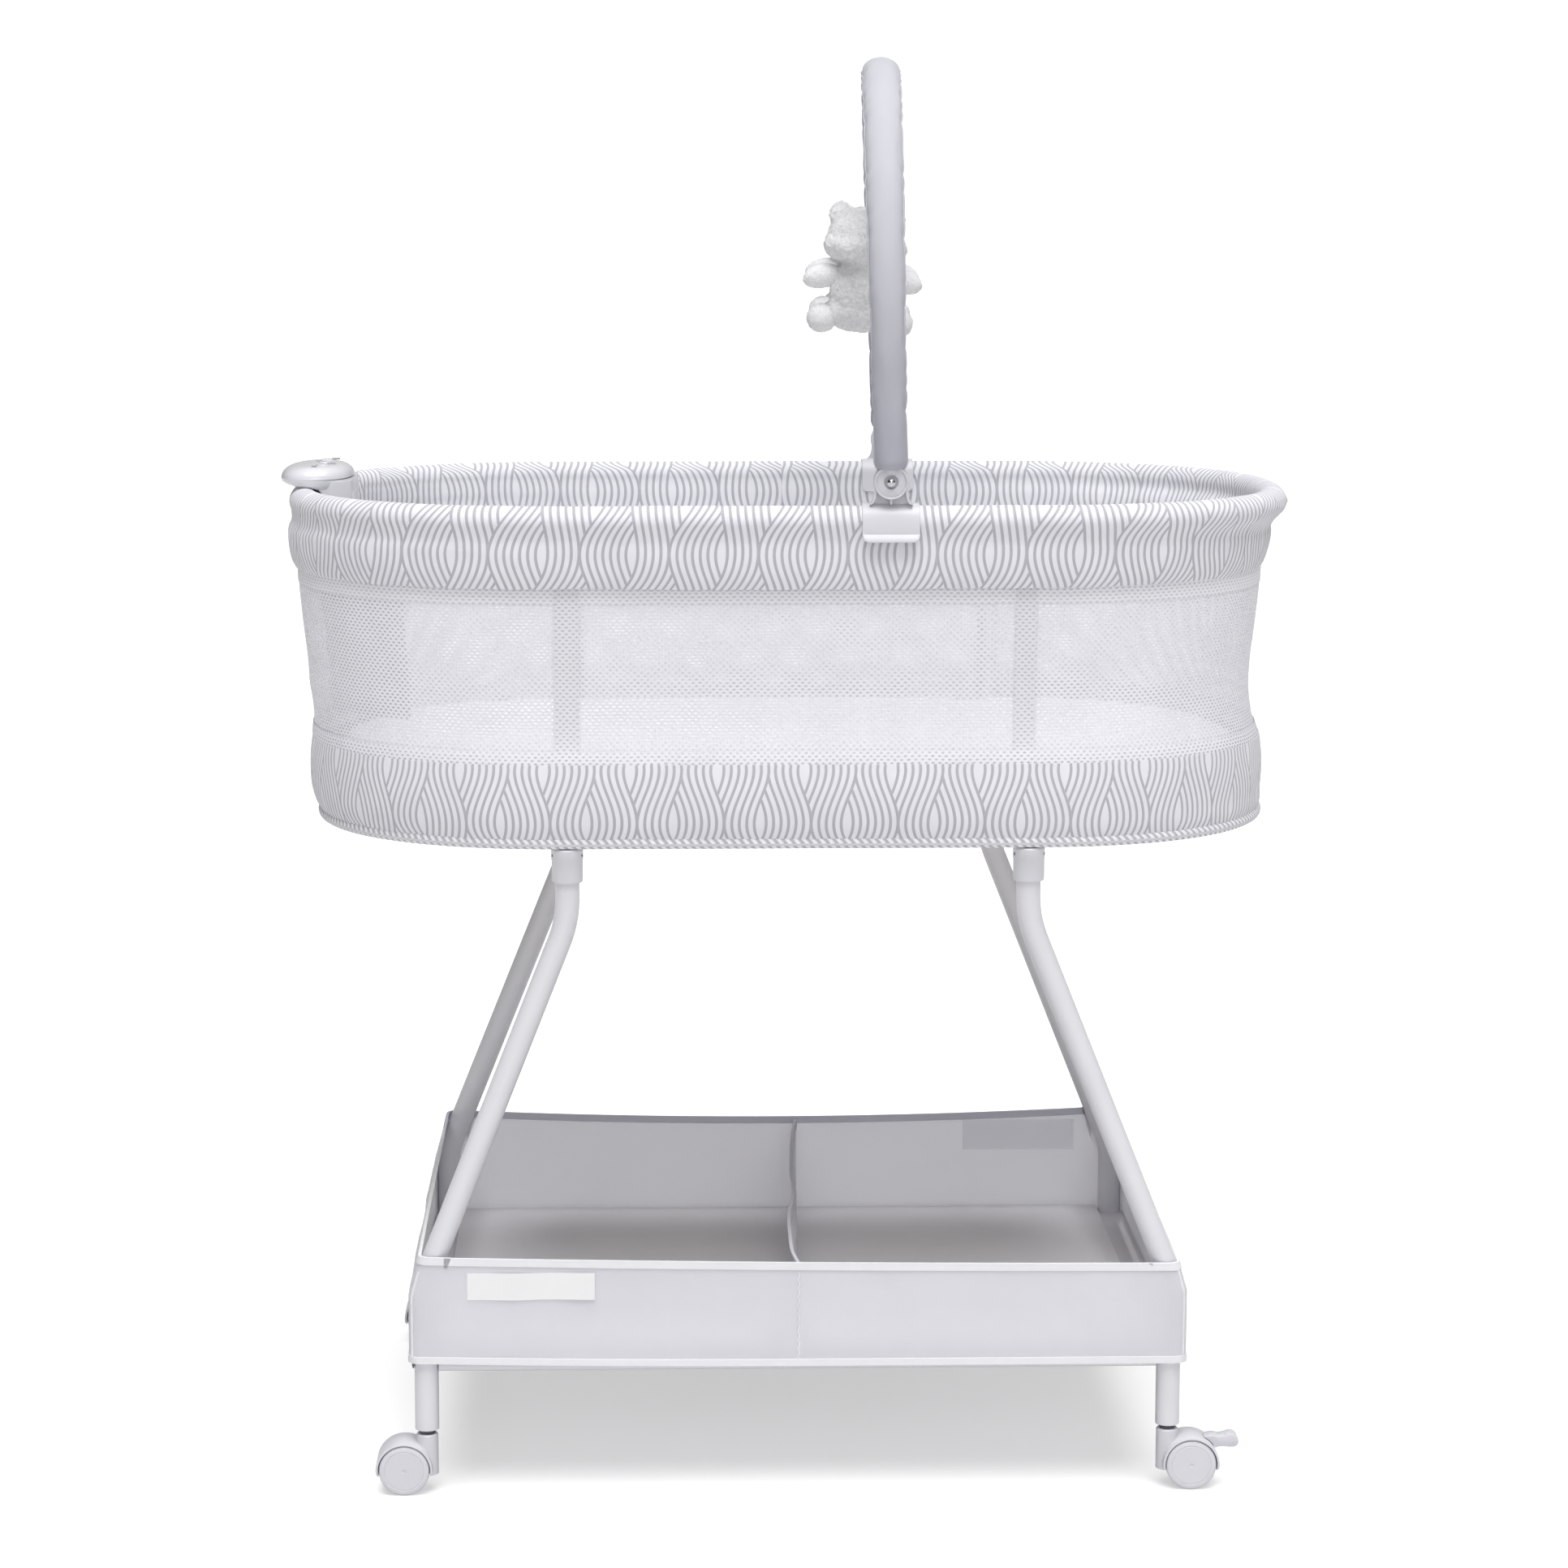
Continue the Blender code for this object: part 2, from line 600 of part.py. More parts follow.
def make_casters():
    housing = caster_housing()
    wheels = caster_wheels()
    lever = caster_lever()
    stem = turned(
        "caster_stem",
        [(0, STEM_BOTTOM), (STEM_RADIUS, STEM_BOTTOM), (STEM_RADIUS, BARREL_TOP + GAP),
         (STEM_COLLAR_RADIUS, BARREL_TOP + GAP), (STEM_COLLAR_RADIUS, LEG_BOTTOM[2] - GAP),
         (LEG_RADIUS - TUBE_WALL - GAP, LEG_BOTTOM[2] - GAP), (LEG_RADIUS - TUBE_WALL - GAP, 0.080),
         (0, 0.080)],
        10,
    )
    for face, sy in FACES.items():
        for side, sx in SIDES.items():
            where = f"{face}_{side}"
            foot = (sx * LEG_BOTTOM[0], sy * LEG_BOTTOM[1], 0)
            axle = (sx * (LEG_BOTTOM[0] + CASTER_TRAIL), sy * LEG_BOTTOM[1], WHEEL_RADIUS)
            turn = 0 if sx > 0 else math.pi
            add_copy(f"caster_stem_{where}", stem, "dark_steel", foot)
            add_copy(f"caster_housing_{where}", housing, "white_plastic", foot, turn)
            add_copy(f"caster_wheels_{where}", wheels, "white_plastic", axle, turn)
            if side == "right":
                add_copy(f"brake_lever_{where}", lever, "clear_plastic", axle)


def arch_path(low, steps):
    """The arch's centre line in its own frame, which has its origin midway between the pivots."""
    centre = (0, ARCH_SPRING_HEIGHT - ARCH_PIVOT_HEIGHT)
    top = arc(centre, ARCH_HALF_WIDTH, 0, 180, steps)
    ends = ((ARCH_HALF_WIDTH, low), (-ARCH_HALF_WIDTH, low))
    return [Vector((0, y, z)) for y, z in (ends[0], *top, ends[1])]


def make_arch():
    """Flexible bow with a moulded knuckle at each end, in a padded sleeve."""
    side = Vector((1, 0, 0))
    place = (ARCH_X, 0, ARCH_PIVOT_HEIGHT)
    mesh = pipe("arch_bow", arch_path(BOW_BOTTOM, 20), side, (BOW_RADIUS,) * 2, None, 8)
    bow = add("arch_bow", mesh, "white_plastic", place, ARCH_TURN, ARCH_LEAN)
    mesh = pipe("arch_sleeve", arch_path(SLEEVE_BOTTOM, 20), side,
                (SLEEVE_HALF_WIDTH, SLEEVE_HALF_THICKNESS), BOW_RADIUS + 2 * GAP, 10)
    add("arch_sleeve", mesh, "sleeve_fabric", place, ARCH_TURN, ARCH_LEAN)
    for sign in FACES.values():
        centre = (0, sign * ARCH_HALF_WIDTH, 0)
        knuckle = rod("knuckle", KNUCKLE_RADIUS, -KNUCKLE_HALF_THICKNESS, KNUCKLE_HALF_THICKNESS, 20,
                      "Y", centre)
        combine(bow, knuckle, "UNION")
        hole = rod("pivot_hole", SCREW_HOLE_RADIUS, -0.01, 0.01, 10, "Y", centre)
        combine(bow, hole, "DIFFERENCE")


def from_rim(x, y, z):
    """A point measured along and across the rim from the arch's origin, in the arch's turned frame."""
    return (
        x * math.cos(ARCH_TURN) + y * math.sin(ARCH_TURN),
        y * math.cos(ARCH_TURN) - x * math.sin(ARCH_TURN),
        z,
    )


def make_clips():
    """Saddles over the rim with an ear behind each knuckle, and the pivot screws."""
    roll = (RIM_HALF_WIDTH - ROLL_RADIUS, RIM_TOP - ROLL_RADIUS)
    inner_low = roll[0] - CLIP_INNER_RADIUS - CLIP_INNER_CLEARANCE
    wall = CLIP_OUTER_RADIUS - CLIP_INNER_RADIUS
    section = [(roll[0] + CLIP_OUTER_RADIUS, CLIP_BOTTOM)]
    section += arc(roll, CLIP_OUTER_RADIUS, 0, 180, 8)
    section += [(inner_low - wall, CLIP_BOTTOM), (inner_low, CLIP_BOTTOM)]
    section += arc(roll, CLIP_INNER_RADIUS, 180, 0, 8)
    section += [(roll[0] + CLIP_INNER_RADIUS, CLIP_BOTTOM)]
    ear = (EAR_INNER_FACE, ARCH_HALF_WIDTH - BOW_RADIUS - 2 * GAP)
    head = ARCH_HALF_WIDTH + KNUCKLE_HALF_THICKNESS + GAP
    screw = laid_along(
        turned(
            "pivot_screw",
            [(0, head + 0.0030), (0.0028, head + 0.0026), (0.0038, head + 0.0012), (0.0038, head),
             (SCREW_RADIUS, head), (SCREW_RADIUS, ear[0]), (0, ear[0])],
            12,
        ),
        "Y",
    )
    pivot = (ARCH_X, 0, ARCH_PIVOT_HEIGHT)
    for face, sy in FACES.items():
        middle = -sy * ARCH_HALF_WIDTH * math.sin(ARCH_TURN)
        loops = []
        for x in (middle - CLIP_HALF_LENGTH, middle + CLIP_HALF_LENGTH):
            loops.append([from_rim(x, sy * y, z - ARCH_PIVOT_HEIGHT) for y, z in section])
        mesh = loft(f"arch_clip_{face}", loops)
        clip = add(f"arch_clip_{face}", mesh, "white_plastic", pivot, ARCH_TURN)
        low, high = sorted((sy * ear[0], sy * ear[1]))
        foot = RIM_TOP + GUSSET_FOOT - ARCH_PIVOT_HEIGHT
        gusset = box("gusset", (-GUSSET_HALF, low + 0.0001, foot), (GUSSET_HALF, high - 0.0001, 0))
        combine(clip, gusset, "UNION")
        combine(clip, rod("ear", EAR_RADIUS, low, high, 20, "Y"), "UNION")
        hole = rod("pivot_hole", SCREW_HOLE_RADIUS, low - 0.001, high + 0.001, 10, "Y")
        combine(clip, hole, "DIFFERENCE")
        turn = ARCH_TURN if sy > 0 else ARCH_TURN + math.pi
        add_copy(f"pivot_screw_{face}", screw, "bright_steel", pivot, turn)


def make_bears():
    """Plush bears with their arms and legs out to the sides, each on a sewn ribbon."""
    low = BEAR_BOTTOM - RIBBON_TOP
    body = add("bear", ball("body", (0, 0, low + 0.038), (0.026, 0.022, 0.032)))
    combine(body, ball("head", (0, 0, low + 0.083), (0.031, 0.025, 0.025)), "UNION")
    for sx in (-1, 1):
        combine(body, ball("ear", (sx * 0.018, 0, low + 0.098), (0.010, 0.006, 0.009)), "UNION")
        combine(body, ball("arm", (sx * 0.034, 0, low + 0.048), (0.014, 0.010, 0.010)), "UNION")
        combine(body, ball("leg", (sx * 0.028, 0.002, low + 0.015), (0.016, 0.014, 0.015)), "UNION")
    ribbon = box("ribbon", (-RIBBON_HALF_WIDTH, -RIBBON_HALF_THICKNESS, low + 0.100),
                 (RIBBON_HALF_WIDTH, RIBBON_HALF_THICKNESS, -0.0005))
    combine(body, ribbon, "UNION")
    mesh = result_of(body)
    rise = RIBBON_TOP - ARCH_PIVOT_HEIGHT
    for face, sy in FACES.items():
        x = ARCH_X - BEAR_INSET - sy * BEAR_Y * math.tan(ARCH_TURN) + rise * math.tan(ARCH_LEAN)
        add_copy(f"bear_{face}", mesh, "plush", (x, sy * BEAR_Y, RIBBON_TOP))


def make_pod():
    """Music pod hooked over the rim: lower case, cover with three buttons, and battery door."""
    centre = (POD_X, 0)
    levels = ((0.004, POD_BOTTOM), (0.0, POD_BOTTOM + 0.005), (0.0, POD_SPLIT - GAP))
    lower = [
        oval(centre, POD_HALF_LENGTH - inset, POD_HALF_WIDTH - inset, POD_POWER, height, POD_POINTS)
        for inset, height in levels
    ]
    base = add("pod_base", loft("pod_base", lower), "white_plastic")
    inner_wall = POD_X + POD_HALF_LENGTH - POD_WALL
    pod_box = box("pod_box", (POD_BOX_LEFT, -POD_BOX_HALF_WIDTH, POD_BOX_BOTTOM),
                  (inner_wall, POD_BOX_HALF_WIDTH, POD_BOTTOM + 0.004))
    combine(base, pod_box, "UNION")
    door = box("battery_door", (inner_wall + GAP, -DOOR_HALF_WIDTH, DOOR_BOTTOM),
               (inner_wall + GAP + DOOR_THICKNESS, DOOR_HALF_WIDTH, DOOR_TOP))
    add("battery_door", door, "white_plastic")

    levels = ((0.0, POD_SPLIT), (0.0, POD_TOP - 0.005), (0.002, POD_TOP - 0.0015), (0.007, POD_TOP))
    upper = [
        oval(centre, POD_HALF_LENGTH - inset, POD_HALF_WIDTH - inset, POD_POWER, height, POD_POINTS)
        for inset, height in levels
    ]
    cover = add("pod_cover", loft("pod_cover", upper), "white_plastic")
    for number in range(3):
        y = (number - 1) * BUTTON_PITCH
        hole = rod("button_hole", BUTTON_RADIUS + GAP, POD_SPLIT - 0.001, POD_TOP + 0.001, 14, "Z",
                   (POD_X, y, 0))
        combine(cover, hole, "DIFFERENCE")
        low = POD_SPLIT + BUTTON_TRAVEL + 2 * GAP
        top = POD_TOP + BUTTON_STAND_OUT
        profile = [(0, low), (BUTTON_RADIUS, low), (BUTTON_RADIUS, top - BUTTON_BEVEL),
                   (BUTTON_RADIUS - BUTTON_BEVEL, top), (0, top)]
        add(f"pod_button_{number + 1}", turned("pod_button", profile, 14), "grey_plastic", (POD_X, y, 0))


def main():
    clear_scene()
    make_rim()
    make_walls()
    make_base()
    make_posts()
    make_stand()
    make_storage()
    make_casters()
    make_arch()
    make_clips()
    make_bears()
    make_pod()


main()
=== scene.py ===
"""Looks of the bassinet on its stand: cloth, mesh, plush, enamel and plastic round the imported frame."""

import json
import math

import bmesh
import bpy
import numpy as np
from mathutils import Matrix, Vector, noise


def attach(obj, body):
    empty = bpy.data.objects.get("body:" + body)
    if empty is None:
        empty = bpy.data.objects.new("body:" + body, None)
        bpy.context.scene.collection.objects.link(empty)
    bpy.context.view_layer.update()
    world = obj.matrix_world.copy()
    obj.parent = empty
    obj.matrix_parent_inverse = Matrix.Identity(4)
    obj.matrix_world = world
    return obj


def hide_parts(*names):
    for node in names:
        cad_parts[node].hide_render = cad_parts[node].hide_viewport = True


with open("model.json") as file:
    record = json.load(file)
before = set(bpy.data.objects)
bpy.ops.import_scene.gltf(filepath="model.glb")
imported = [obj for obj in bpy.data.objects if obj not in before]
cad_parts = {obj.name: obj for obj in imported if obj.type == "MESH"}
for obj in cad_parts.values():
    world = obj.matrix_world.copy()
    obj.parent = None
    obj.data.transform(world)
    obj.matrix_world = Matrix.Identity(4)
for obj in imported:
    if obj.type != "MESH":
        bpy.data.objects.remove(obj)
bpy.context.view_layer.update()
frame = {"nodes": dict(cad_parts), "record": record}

SIDES = {"left": -1, "right": 1}
FACES = {"front": -1, "rear": 1}
CORNERS = [(f"{face}_{side}", sx, sy) for face, sy in FACES.items() for side, sx in SIDES.items()]

# Oval plan of the rim.
STRAIGHT_HALF = 0.18
END_REACH = 0.226
RIM_HALF_WIDTH = 0.225
END_POWER = 2.2
ROLL_RADIUS = 0.012

# Top edges of the printed bands, from which the print is measured down.
COVER_TOP = 0.7798
BAND_TOP = 0.5780

# Arch: origin midway between its pivots, and its turn and lean.
ARCH_ORIGIN = Vector((0.0804, 0.0, 0.7987))
ARCH_TURN = math.radians(-2.93)
ARCH_LEAN = math.radians(-1.5)
ARCH_HALF_WIDTH = 0.2228
ARCH_SPRING = 0.0883
RUCK_BEAT = 0.0290
CLIP_FOOT = -0.0172

# Bears: where their ribbons are sewn on.
BEAR_Y = 0.075
RIBBON_TOP = 1.0795

# Stand.
LEG_RADIUS = 0.0095
LEG_BEND_RADII = (0.09, 0.06)
SOCKET_NECK = 0.0122
RAIL_RADIUS = 0.006
RAIL_HEIGHT = 0.1035
BASKET_HALF_DEPTH = 0.2235
DIVIDER_HALF = 0.2205
DIVIDER_REAR = 0.014
LEG_CORNERS = ((0.180, 0.1925, 0.506), (0.180, 0.1925, 0.4543), (0.293, 0.212, 0.1714), (0.293, 0.212, 0.051))
CASTER_X = 0.293
CASTER_Y = 0.212
CASTER_TRAIL = 0.018
WHEEL_RADIUS = 0.020

# Music pod.
POD_X = -0.3776
POD_MIDDLE = -0.3835
POD_HALF_LENGTH = 0.0294
BUTTON_PITCH = 0.026
MARK_FOOT = 0.7970
MARK_TOP = 0.79765


# ---------------------------------------------------------------- meshes

def shaded(mesh, sharp=40.0):
    """Smooth shading up to an angle."""
    mesh.shade_smooth()
    mesh.set_sharp_from_angle(angle=math.radians(sharp))
    return mesh


def tidy_mesh(mesh, sharp=40.0, weld=False):
    """Face a mesh outwards and shade it smooth up to an angle."""
    form = bmesh.new()
    form.from_mesh(mesh)
    if weld:
        bmesh.ops.remove_doubles(form, verts=form.verts, dist=2e-6)
    bmesh.ops.recalc_face_normals(form, faces=form.faces)
    form.to_mesh(mesh)
    form.free()
    return shaded(mesh, sharp)


def put(name, mesh, finish, node=None, body="stand", location=(0, 0, 0), turn=(0, 0, 0)):
    """Place a mesh as a named piece that rides on a body, in its finish's material, and may stand for a node.
    """
    piece = bpy.data.objects.new(name, mesh)
    piece.location = location
    piece.rotation_euler = turn
    bpy.context.scene.collection.objects.link(piece)
    material, usual_slot = FINISH[finish]
    mesh.materials.clear()
    mesh.materials.append(material)
    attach(piece, body)
    if node:
        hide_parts(node)
    return piece


def skin(name, rows, u=None, v=None, around=True, closed=False, caps=False, sharp=40.0):
    """Skin a grid of points (rows, columns, 3). Columns may close on themselves, and rows too."""
    rows = np.asarray(rows, float)
    count_r, count_c = rows.shape[:2]
    strips = (count_r if closed else count_r - 1, count_c if around else count_c - 1)
    rr, cc = np.indices(strips).reshape(2, -1)
    rn = (rr + 1) % count_r
    cn = (cc + 1) % count_c
    quads = np.stack([rr * count_c + cc, rr * count_c + cn, rn * count_c + cn, rn * count_c + cc], 1)
    faces = quads.tolist()
    if caps:
        faces.append(list(range(count_c)))
        faces.append(list(range((count_r - 1) * count_c, count_r * count_c)))
    mesh = bpy.data.meshes.new(name)
    mesh.from_pydata(rows.reshape(-1, 3).tolist(), [], faces)
    u = np.linspace(0, 1, count_c + 1) if u is None else np.asarray(u, float)
    v = np.linspace(0, 1, count_r + 1) if v is None else np.asarray(v, float)
    layer = mesh.uv_layers.new(name="UVMap")
    corners = ((0, 0), (1, 0), (1, 1), (0, 1))
    flat = np.stack([np.stack([u[cc + i], v[rr + j]], 1) for i, j in corners], 1).reshape(-1, 2)
    if caps:
        ends = [np.stack([u[:count_c], np.full(count_c, v[k])], 1) for k in (0, count_r - 1)]
        flat = np.concatenate([flat, *ends])
    layer.data.foreach_set("uv", flat.astype(np.float32).ravel())
    return tidy_mesh(mesh, sharp)


def there_and_back(width, rows):
    """V values for the two faces of a strip: up one face, down the other and closed."""
    return np.concatenate([np.linspace(0, width, rows), np.linspace(width, 0, rows), [0]])


def plugged(mesh):
    """Close the open ends of a mesh."""
    form = bmesh.new()
    form.from_mesh(mesh)
    bmesh.ops.holes_fill(form, edges=form.edges)
    form.to_mesh(mesh)
    form.free()
    return tidy_mesh(mesh, 60)


def turned(name, profile, segments, axis="Z", sharp=35.0):
    """Turn (radius, height) points about an axis."""
    angle = np.arange(segments) * math.tau / segments
    rows = [[(rad * math.cos(a), rad * math.sin(a), height) for a in angle] for rad, height in profile]
    mesh = skin(name, rows)
    if axis == "Y":
        mesh.transform(Matrix.Rotation(-math.pi / 2, 4, "X"))
    if axis == "X":
        mesh.transform(Matrix.Rotation(math.pi / 2, 4, "Y"))
    return tidy_mesh(mesh, sharp, weld=True)


def drum(name, radius, low, high, segments, axis="Z"):
    """A plain disc or plug between two levels."""
    return turned(name, [(0.0, low), (radius, low), (radius, high), (0.0, high)], segments, axis)


def unit(vectors):
    """The same directions with length 1."""
    return vectors / np.linalg.norm(vectors, axis=1)[:, None]


def frames_along(points, side):
    """Points of a path, and the directions across it and normal to it at each of them."""
    points = np.asarray(points, float)
    tangent = unit(np.gradient(points, axis=0))
    side = np.broadcast_to(np.asarray(side, float), points.shape)
    across = unit(side - tangent * np.sum(side * tangent, 1)[:, None])
    return points, across, np.cross(tangent, across)


def lengths_along(points):
    """Length of a path from its start to each of its points."""
    points = np.asarray(points, float)
    return np.concatenate([[0], np.cumsum(np.linalg.norm(np.diff(points, axis=0), axis=1))])


def pipe(name, points, side, radius, sides=24, sharp=50.0):
    """A round bar along a path, with flat ends. radius is one number or one per point."""
    points, across, normal = frames_along(points, side)
    angle = np.arange(sides) * math.tau / sides
    radius = np.broadcast_to(np.asarray(radius, float), len(points))[:, None, None]
    ring = across[:, None] * np.cos(angle)[None, :, None] + normal[:, None] * np.sin(angle)[None, :, None]
    rows = points[:, None] + ring * radius
    travel = lengths_along(points)
    v = np.concatenate([travel, [travel[-1]]])
    return skin(name, rows, v=v, caps=True, sharp=sharp)


def points_at(at, travel, points):
    """Values of a path at given lengths along it."""
    return np.stack([np.interp(at, travel, column) for column in points.T], 1)


def resampled(points, step):
    """The same path with evenly spaced points."""
    points = np.asarray(points, float)
    travel = lengths_along(points)
    count = max(2, int(round(travel[-1] / step)) + 1)
    return points_at(np.linspace(0, travel[-1], count), travel, points)


def circle_arc(centre, radius, first, last, steps):
    """Points of an arc between two angles in degrees."""
    angles = np.radians(np.linspace(first, last, steps + 1))
    return [(centre[0] + radius * math.cos(a), centre[1] + radius * math.sin(a)) for a in angles]


def rounded_path(corners, radii, steps=10):
    """A path through corners, each inner one rounded by an arc."""
    points = [Vector(corners[0])]
    for before, corner, after, radius in zip(corners, corners[1:], corners[2:], radii):
        corner = Vector(corner)
        into = (corner - Vector(before)).normalized()
        out = (Vector(after) - corner).normalized()
        bend = into.angle(out)
        start = corner - into * radius * math.tan(bend / 2)
        inward = (out - into * out.dot(into)).normalized()
        for i in range(steps + 1):
            turn = bend * i / steps
            points.append(start + into * radius * math.sin(turn) + inward * radius * (1 - math.cos(turn)))
    points.append(Vector(corners[-1]))
    return [tuple(p) for p in points]


def smooth_line(points, count):
    """A Catmull-Rom curve through points, evenly resampled, with as many columns as the points have."""
    points = np.asarray(points, float)
    ends = np.concatenate([[2 * points[0] - points[1]], points, [2 * points[-1] - points[-2]]])
    fine = []
    for i in range(len(points) - 1):
        a, b, c, d = ends[i : i + 4]
        for t in np.linspace(0, 1, 16, endpoint=False):
            fine.append(0.5 * (2 * b + (c - a) * t + (2 * a - 5 * b + 4 * c - d) * t * t
                               + (3 * b - a - 3 * c + d) * t ** 3))
    fine.append(points[-1])
    fine = np.array(fine)
    travel = lengths_along(fine)
    return points_at(np.linspace(0, travel[-1], count), travel, fine)


def box(name, low, high, bevel=0.0):
    """A box between two corners, with rounded edges if asked."""
    form = bmesh.new()
    bmesh.ops.create_cube(form, size=1.0)
    for vertex in form.verts:
        vertex.co = [low[k] + (high[k] - low[k]) * (vertex.co[k] + 0.5) for k in range(3)]
    if bevel:
        bmesh.ops.bevel(form, geom=form.edges[:] + form.verts[:], offset=bevel, segments=3, profile=0.5,
                        affect="EDGES")
    mesh = bpy.data.meshes.new(name)
    form.to_mesh(mesh)
    form.free()
    return tidy_mesh(mesh)


def extruded(name, outline, low, high, axis="Y"):
    """A flat outline of (x, z) points carried along Y, or of (x, y) points along Z, as a closed body."""
    loops = []
    for level in (low, high):
        if axis == "Y":
            loops.append([(x, level, z) for x, z in outline])
        else:
            loops.append([(x, y, level) for x, y in outline])
    return skin(name, loops, caps=True)


def shaped(mesh, *steps):
    """Join, cut, bevel or remesh a mesh with modifiers and give back the result."""
    piece = bpy.data.objects.new("shaping", mesh)
    bpy.context.scene.collection.objects.link(piece)
    helpers = []
    for kind, value, *more in steps:
        if kind in ("UNION", "DIFFERENCE"):
            other = bpy.data.objects.new("shaping_guide", value)
            bpy.context.scene.collection.objects.link(other)
            other.hide_render = True
            helpers.append(other)
            settings = {"operation": kind, "solver": "EXACT", "object": other}
            kind = "BOOLEAN"
        elif kind == "BEVEL":
            settings = {"width": value, "segments": 2, "limit_method": "ANGLE",
                        "angle_limit": math.radians(more[0]), "use_clamp_overlap": True}
        elif kind == "REMESH":
            settings = {"mode": "VOXEL", "voxel_size": value}
        elif kind == "SMOOTH":
            settings = {"iterations": value, "factor": 0.5}
        else:
            settings = {"levels": value, "render_levels": value}
        modifier = piece.modifiers.new(kind, kind)
        for key, setting in settings.items():
            setattr(modifier, key, setting)
    bpy.context.view_layer.update()
    made = bpy.data.meshes.new_from_object(piece.evaluated_get(bpy.context.evaluated_depsgraph_get()))
    for helper in helpers + [piece]:
        bpy.data.objects.remove(helper, do_unlink=True)
    return shaded(made)


def ellipsoid(name, centre, radii, segments=32, tilt=0.0):
    """An ellipsoid, tilted about Y."""
    form = bmesh.new()
    bmesh.ops.create_uvsphere(form, u_segments=segments, v_segments=segments // 2, radius=1.0)
    spin = Matrix.Rotation(tilt, 3, "Y")
    for vertex in form.verts:
        vertex.co = Vector(centre) + spin @ Vector([radii[k] * vertex.co[k] for k in range(3)])
    mesh = bpy.data.meshes.new(name)
    form.to_mesh(mesh)
    form.free()
    return mesh


def joined(name, meshes):
    """Several meshes as one."""
    form = bmesh.new()
    for mesh in meshes:
        form.from_mesh(mesh)
    made = bpy.data.meshes.new(name)
    form.to_mesh(made)
    form.free()
    return shaded(made)


def wave_noise(points, scale, seed=0.0, detail=2):
    """Smooth noise at many points, about -1 to 1."""
    scale = np.broadcast_to(np.asarray(scale, float), (3,))
    shift = Vector((seed, seed * 1.7, -seed))
    out = np.empty(len(points))
    for i, p in enumerate(np.asarray(points, float)):
        out[i] = noise.fractal(Vector(p * scale) + shift, 1.0, 2.0, detail)
    return out


def mix(a, b, t):
    """From a at t = 0 to b at t = 1."""
    return a + (b - a) * t


def bell(x, middle, width):
    """A smooth bump, 1 at its middle."""
    return np.exp(-(((x - middle) / width) ** 2))


def ramp(x, width):
    """From 0 at zero up to 1 at a width."""
    return np.clip(x / width, 0, 1)


def in_space(plan):
    """Plan points as points in space, for noise."""
    return np.column_stack([plan, np.zeros(len(plan))])


# ---------------------------------------------------------------- the oval

def oval_table(count):
    """Base points, outward normals and positions along the oval, starting at the front middle."""
    turn = np.linspace(0, math.pi / 2, 500)
    u = np.cos(turn) ** (2 / END_POWER)
    v = np.sin(turn) ** (2 / END_POWER)
    slope = unit(np.stack([u ** (END_POWER - 1) / END_REACH, v ** (END_POWER - 1) / RIM_HALF_WIDTH], 1))
    quarter = np.stack([STRAIGHT_HALF + END_REACH * u, RIM_HALF_WIDTH * v], 1)
    sign = np.array([1, -1])
    front_x = np.linspace(0, STRAIGHT_HALF, 40, endpoint=False)
    front = np.stack([front_x, np.full(40, -RIM_HALF_WIDTH)], 1)
    down = np.tile([0.0, -1.0], (40, 1))
    base = np.concatenate([front, quarter[::-1] * sign, quarter[1:]])
    normal = np.concatenate([down, slope[::-1] * sign, slope[1:]])
    base = np.concatenate([base, front[::-1] * sign])
    normal = np.concatenate([normal, -down])
    base, normal = (np.concatenate([half, half[::-1][1:-1] * (-1, 1), half[:1]]) for half in (base, normal))
    travel = lengths_along(base - ROLL_RADIUS * normal)
    at = np.linspace(0, travel[-1], count + 1)
    return points_at(at, travel, base), unit(points_at(at, travel, normal)), at


def round_oval(name, section, count, v, closed, bend=None, part=None, sharp=60.0):
    """Carry a section of (offset, height) round the oval. UVs run in metres from the front middle."""
    base, normal, at = oval_table(count)
    if part:
        keep = (at >= part[0]) & (at <= part[1])
        base, normal, u = base[keep], normal[keep], at[keep]
    else:
        base = np.roll(base[:-1], count // 2, 0)
        normal = np.roll(normal[:-1], count // 2, 0)
        u = at - at[-1] / 2
    section = np.asarray(section, float)
    offset = np.broadcast_to(section[:, 0][:, None], (len(section), len(base))).copy()
    height = np.broadcast_to(section[:, 1][:, None], (len(section), len(base))).copy()
    if bend:
        offset, height = bend(base, offset, height)
    rows = np.zeros((len(section), len(base), 3))
    rows[:, :, :2] = base[None] + normal[None] * offset[:, :, None]
    rows[:, :, 2] = height
    v = np.asarray(v, float)
    v = np.concatenate([v, v[:1] if closed else v[-1:]])
    return skin(name, rows, u=u, v=v, around=part is None, closed=closed, sharp=sharp)


def thick_section(line, thickness):
    """A closed section from a line of (offset, height) points and the same line set back inside."""
    line = np.asarray(line, float)
    tangent = unit(np.gradient(line, axis=0))
    inside = line + thickness * np.stack([-tangent[:, 1], tangent[:, 0]], 1)
    return np.concatenate([line, inside[::-1]])


# ---------------------------------------------------------------- finishes

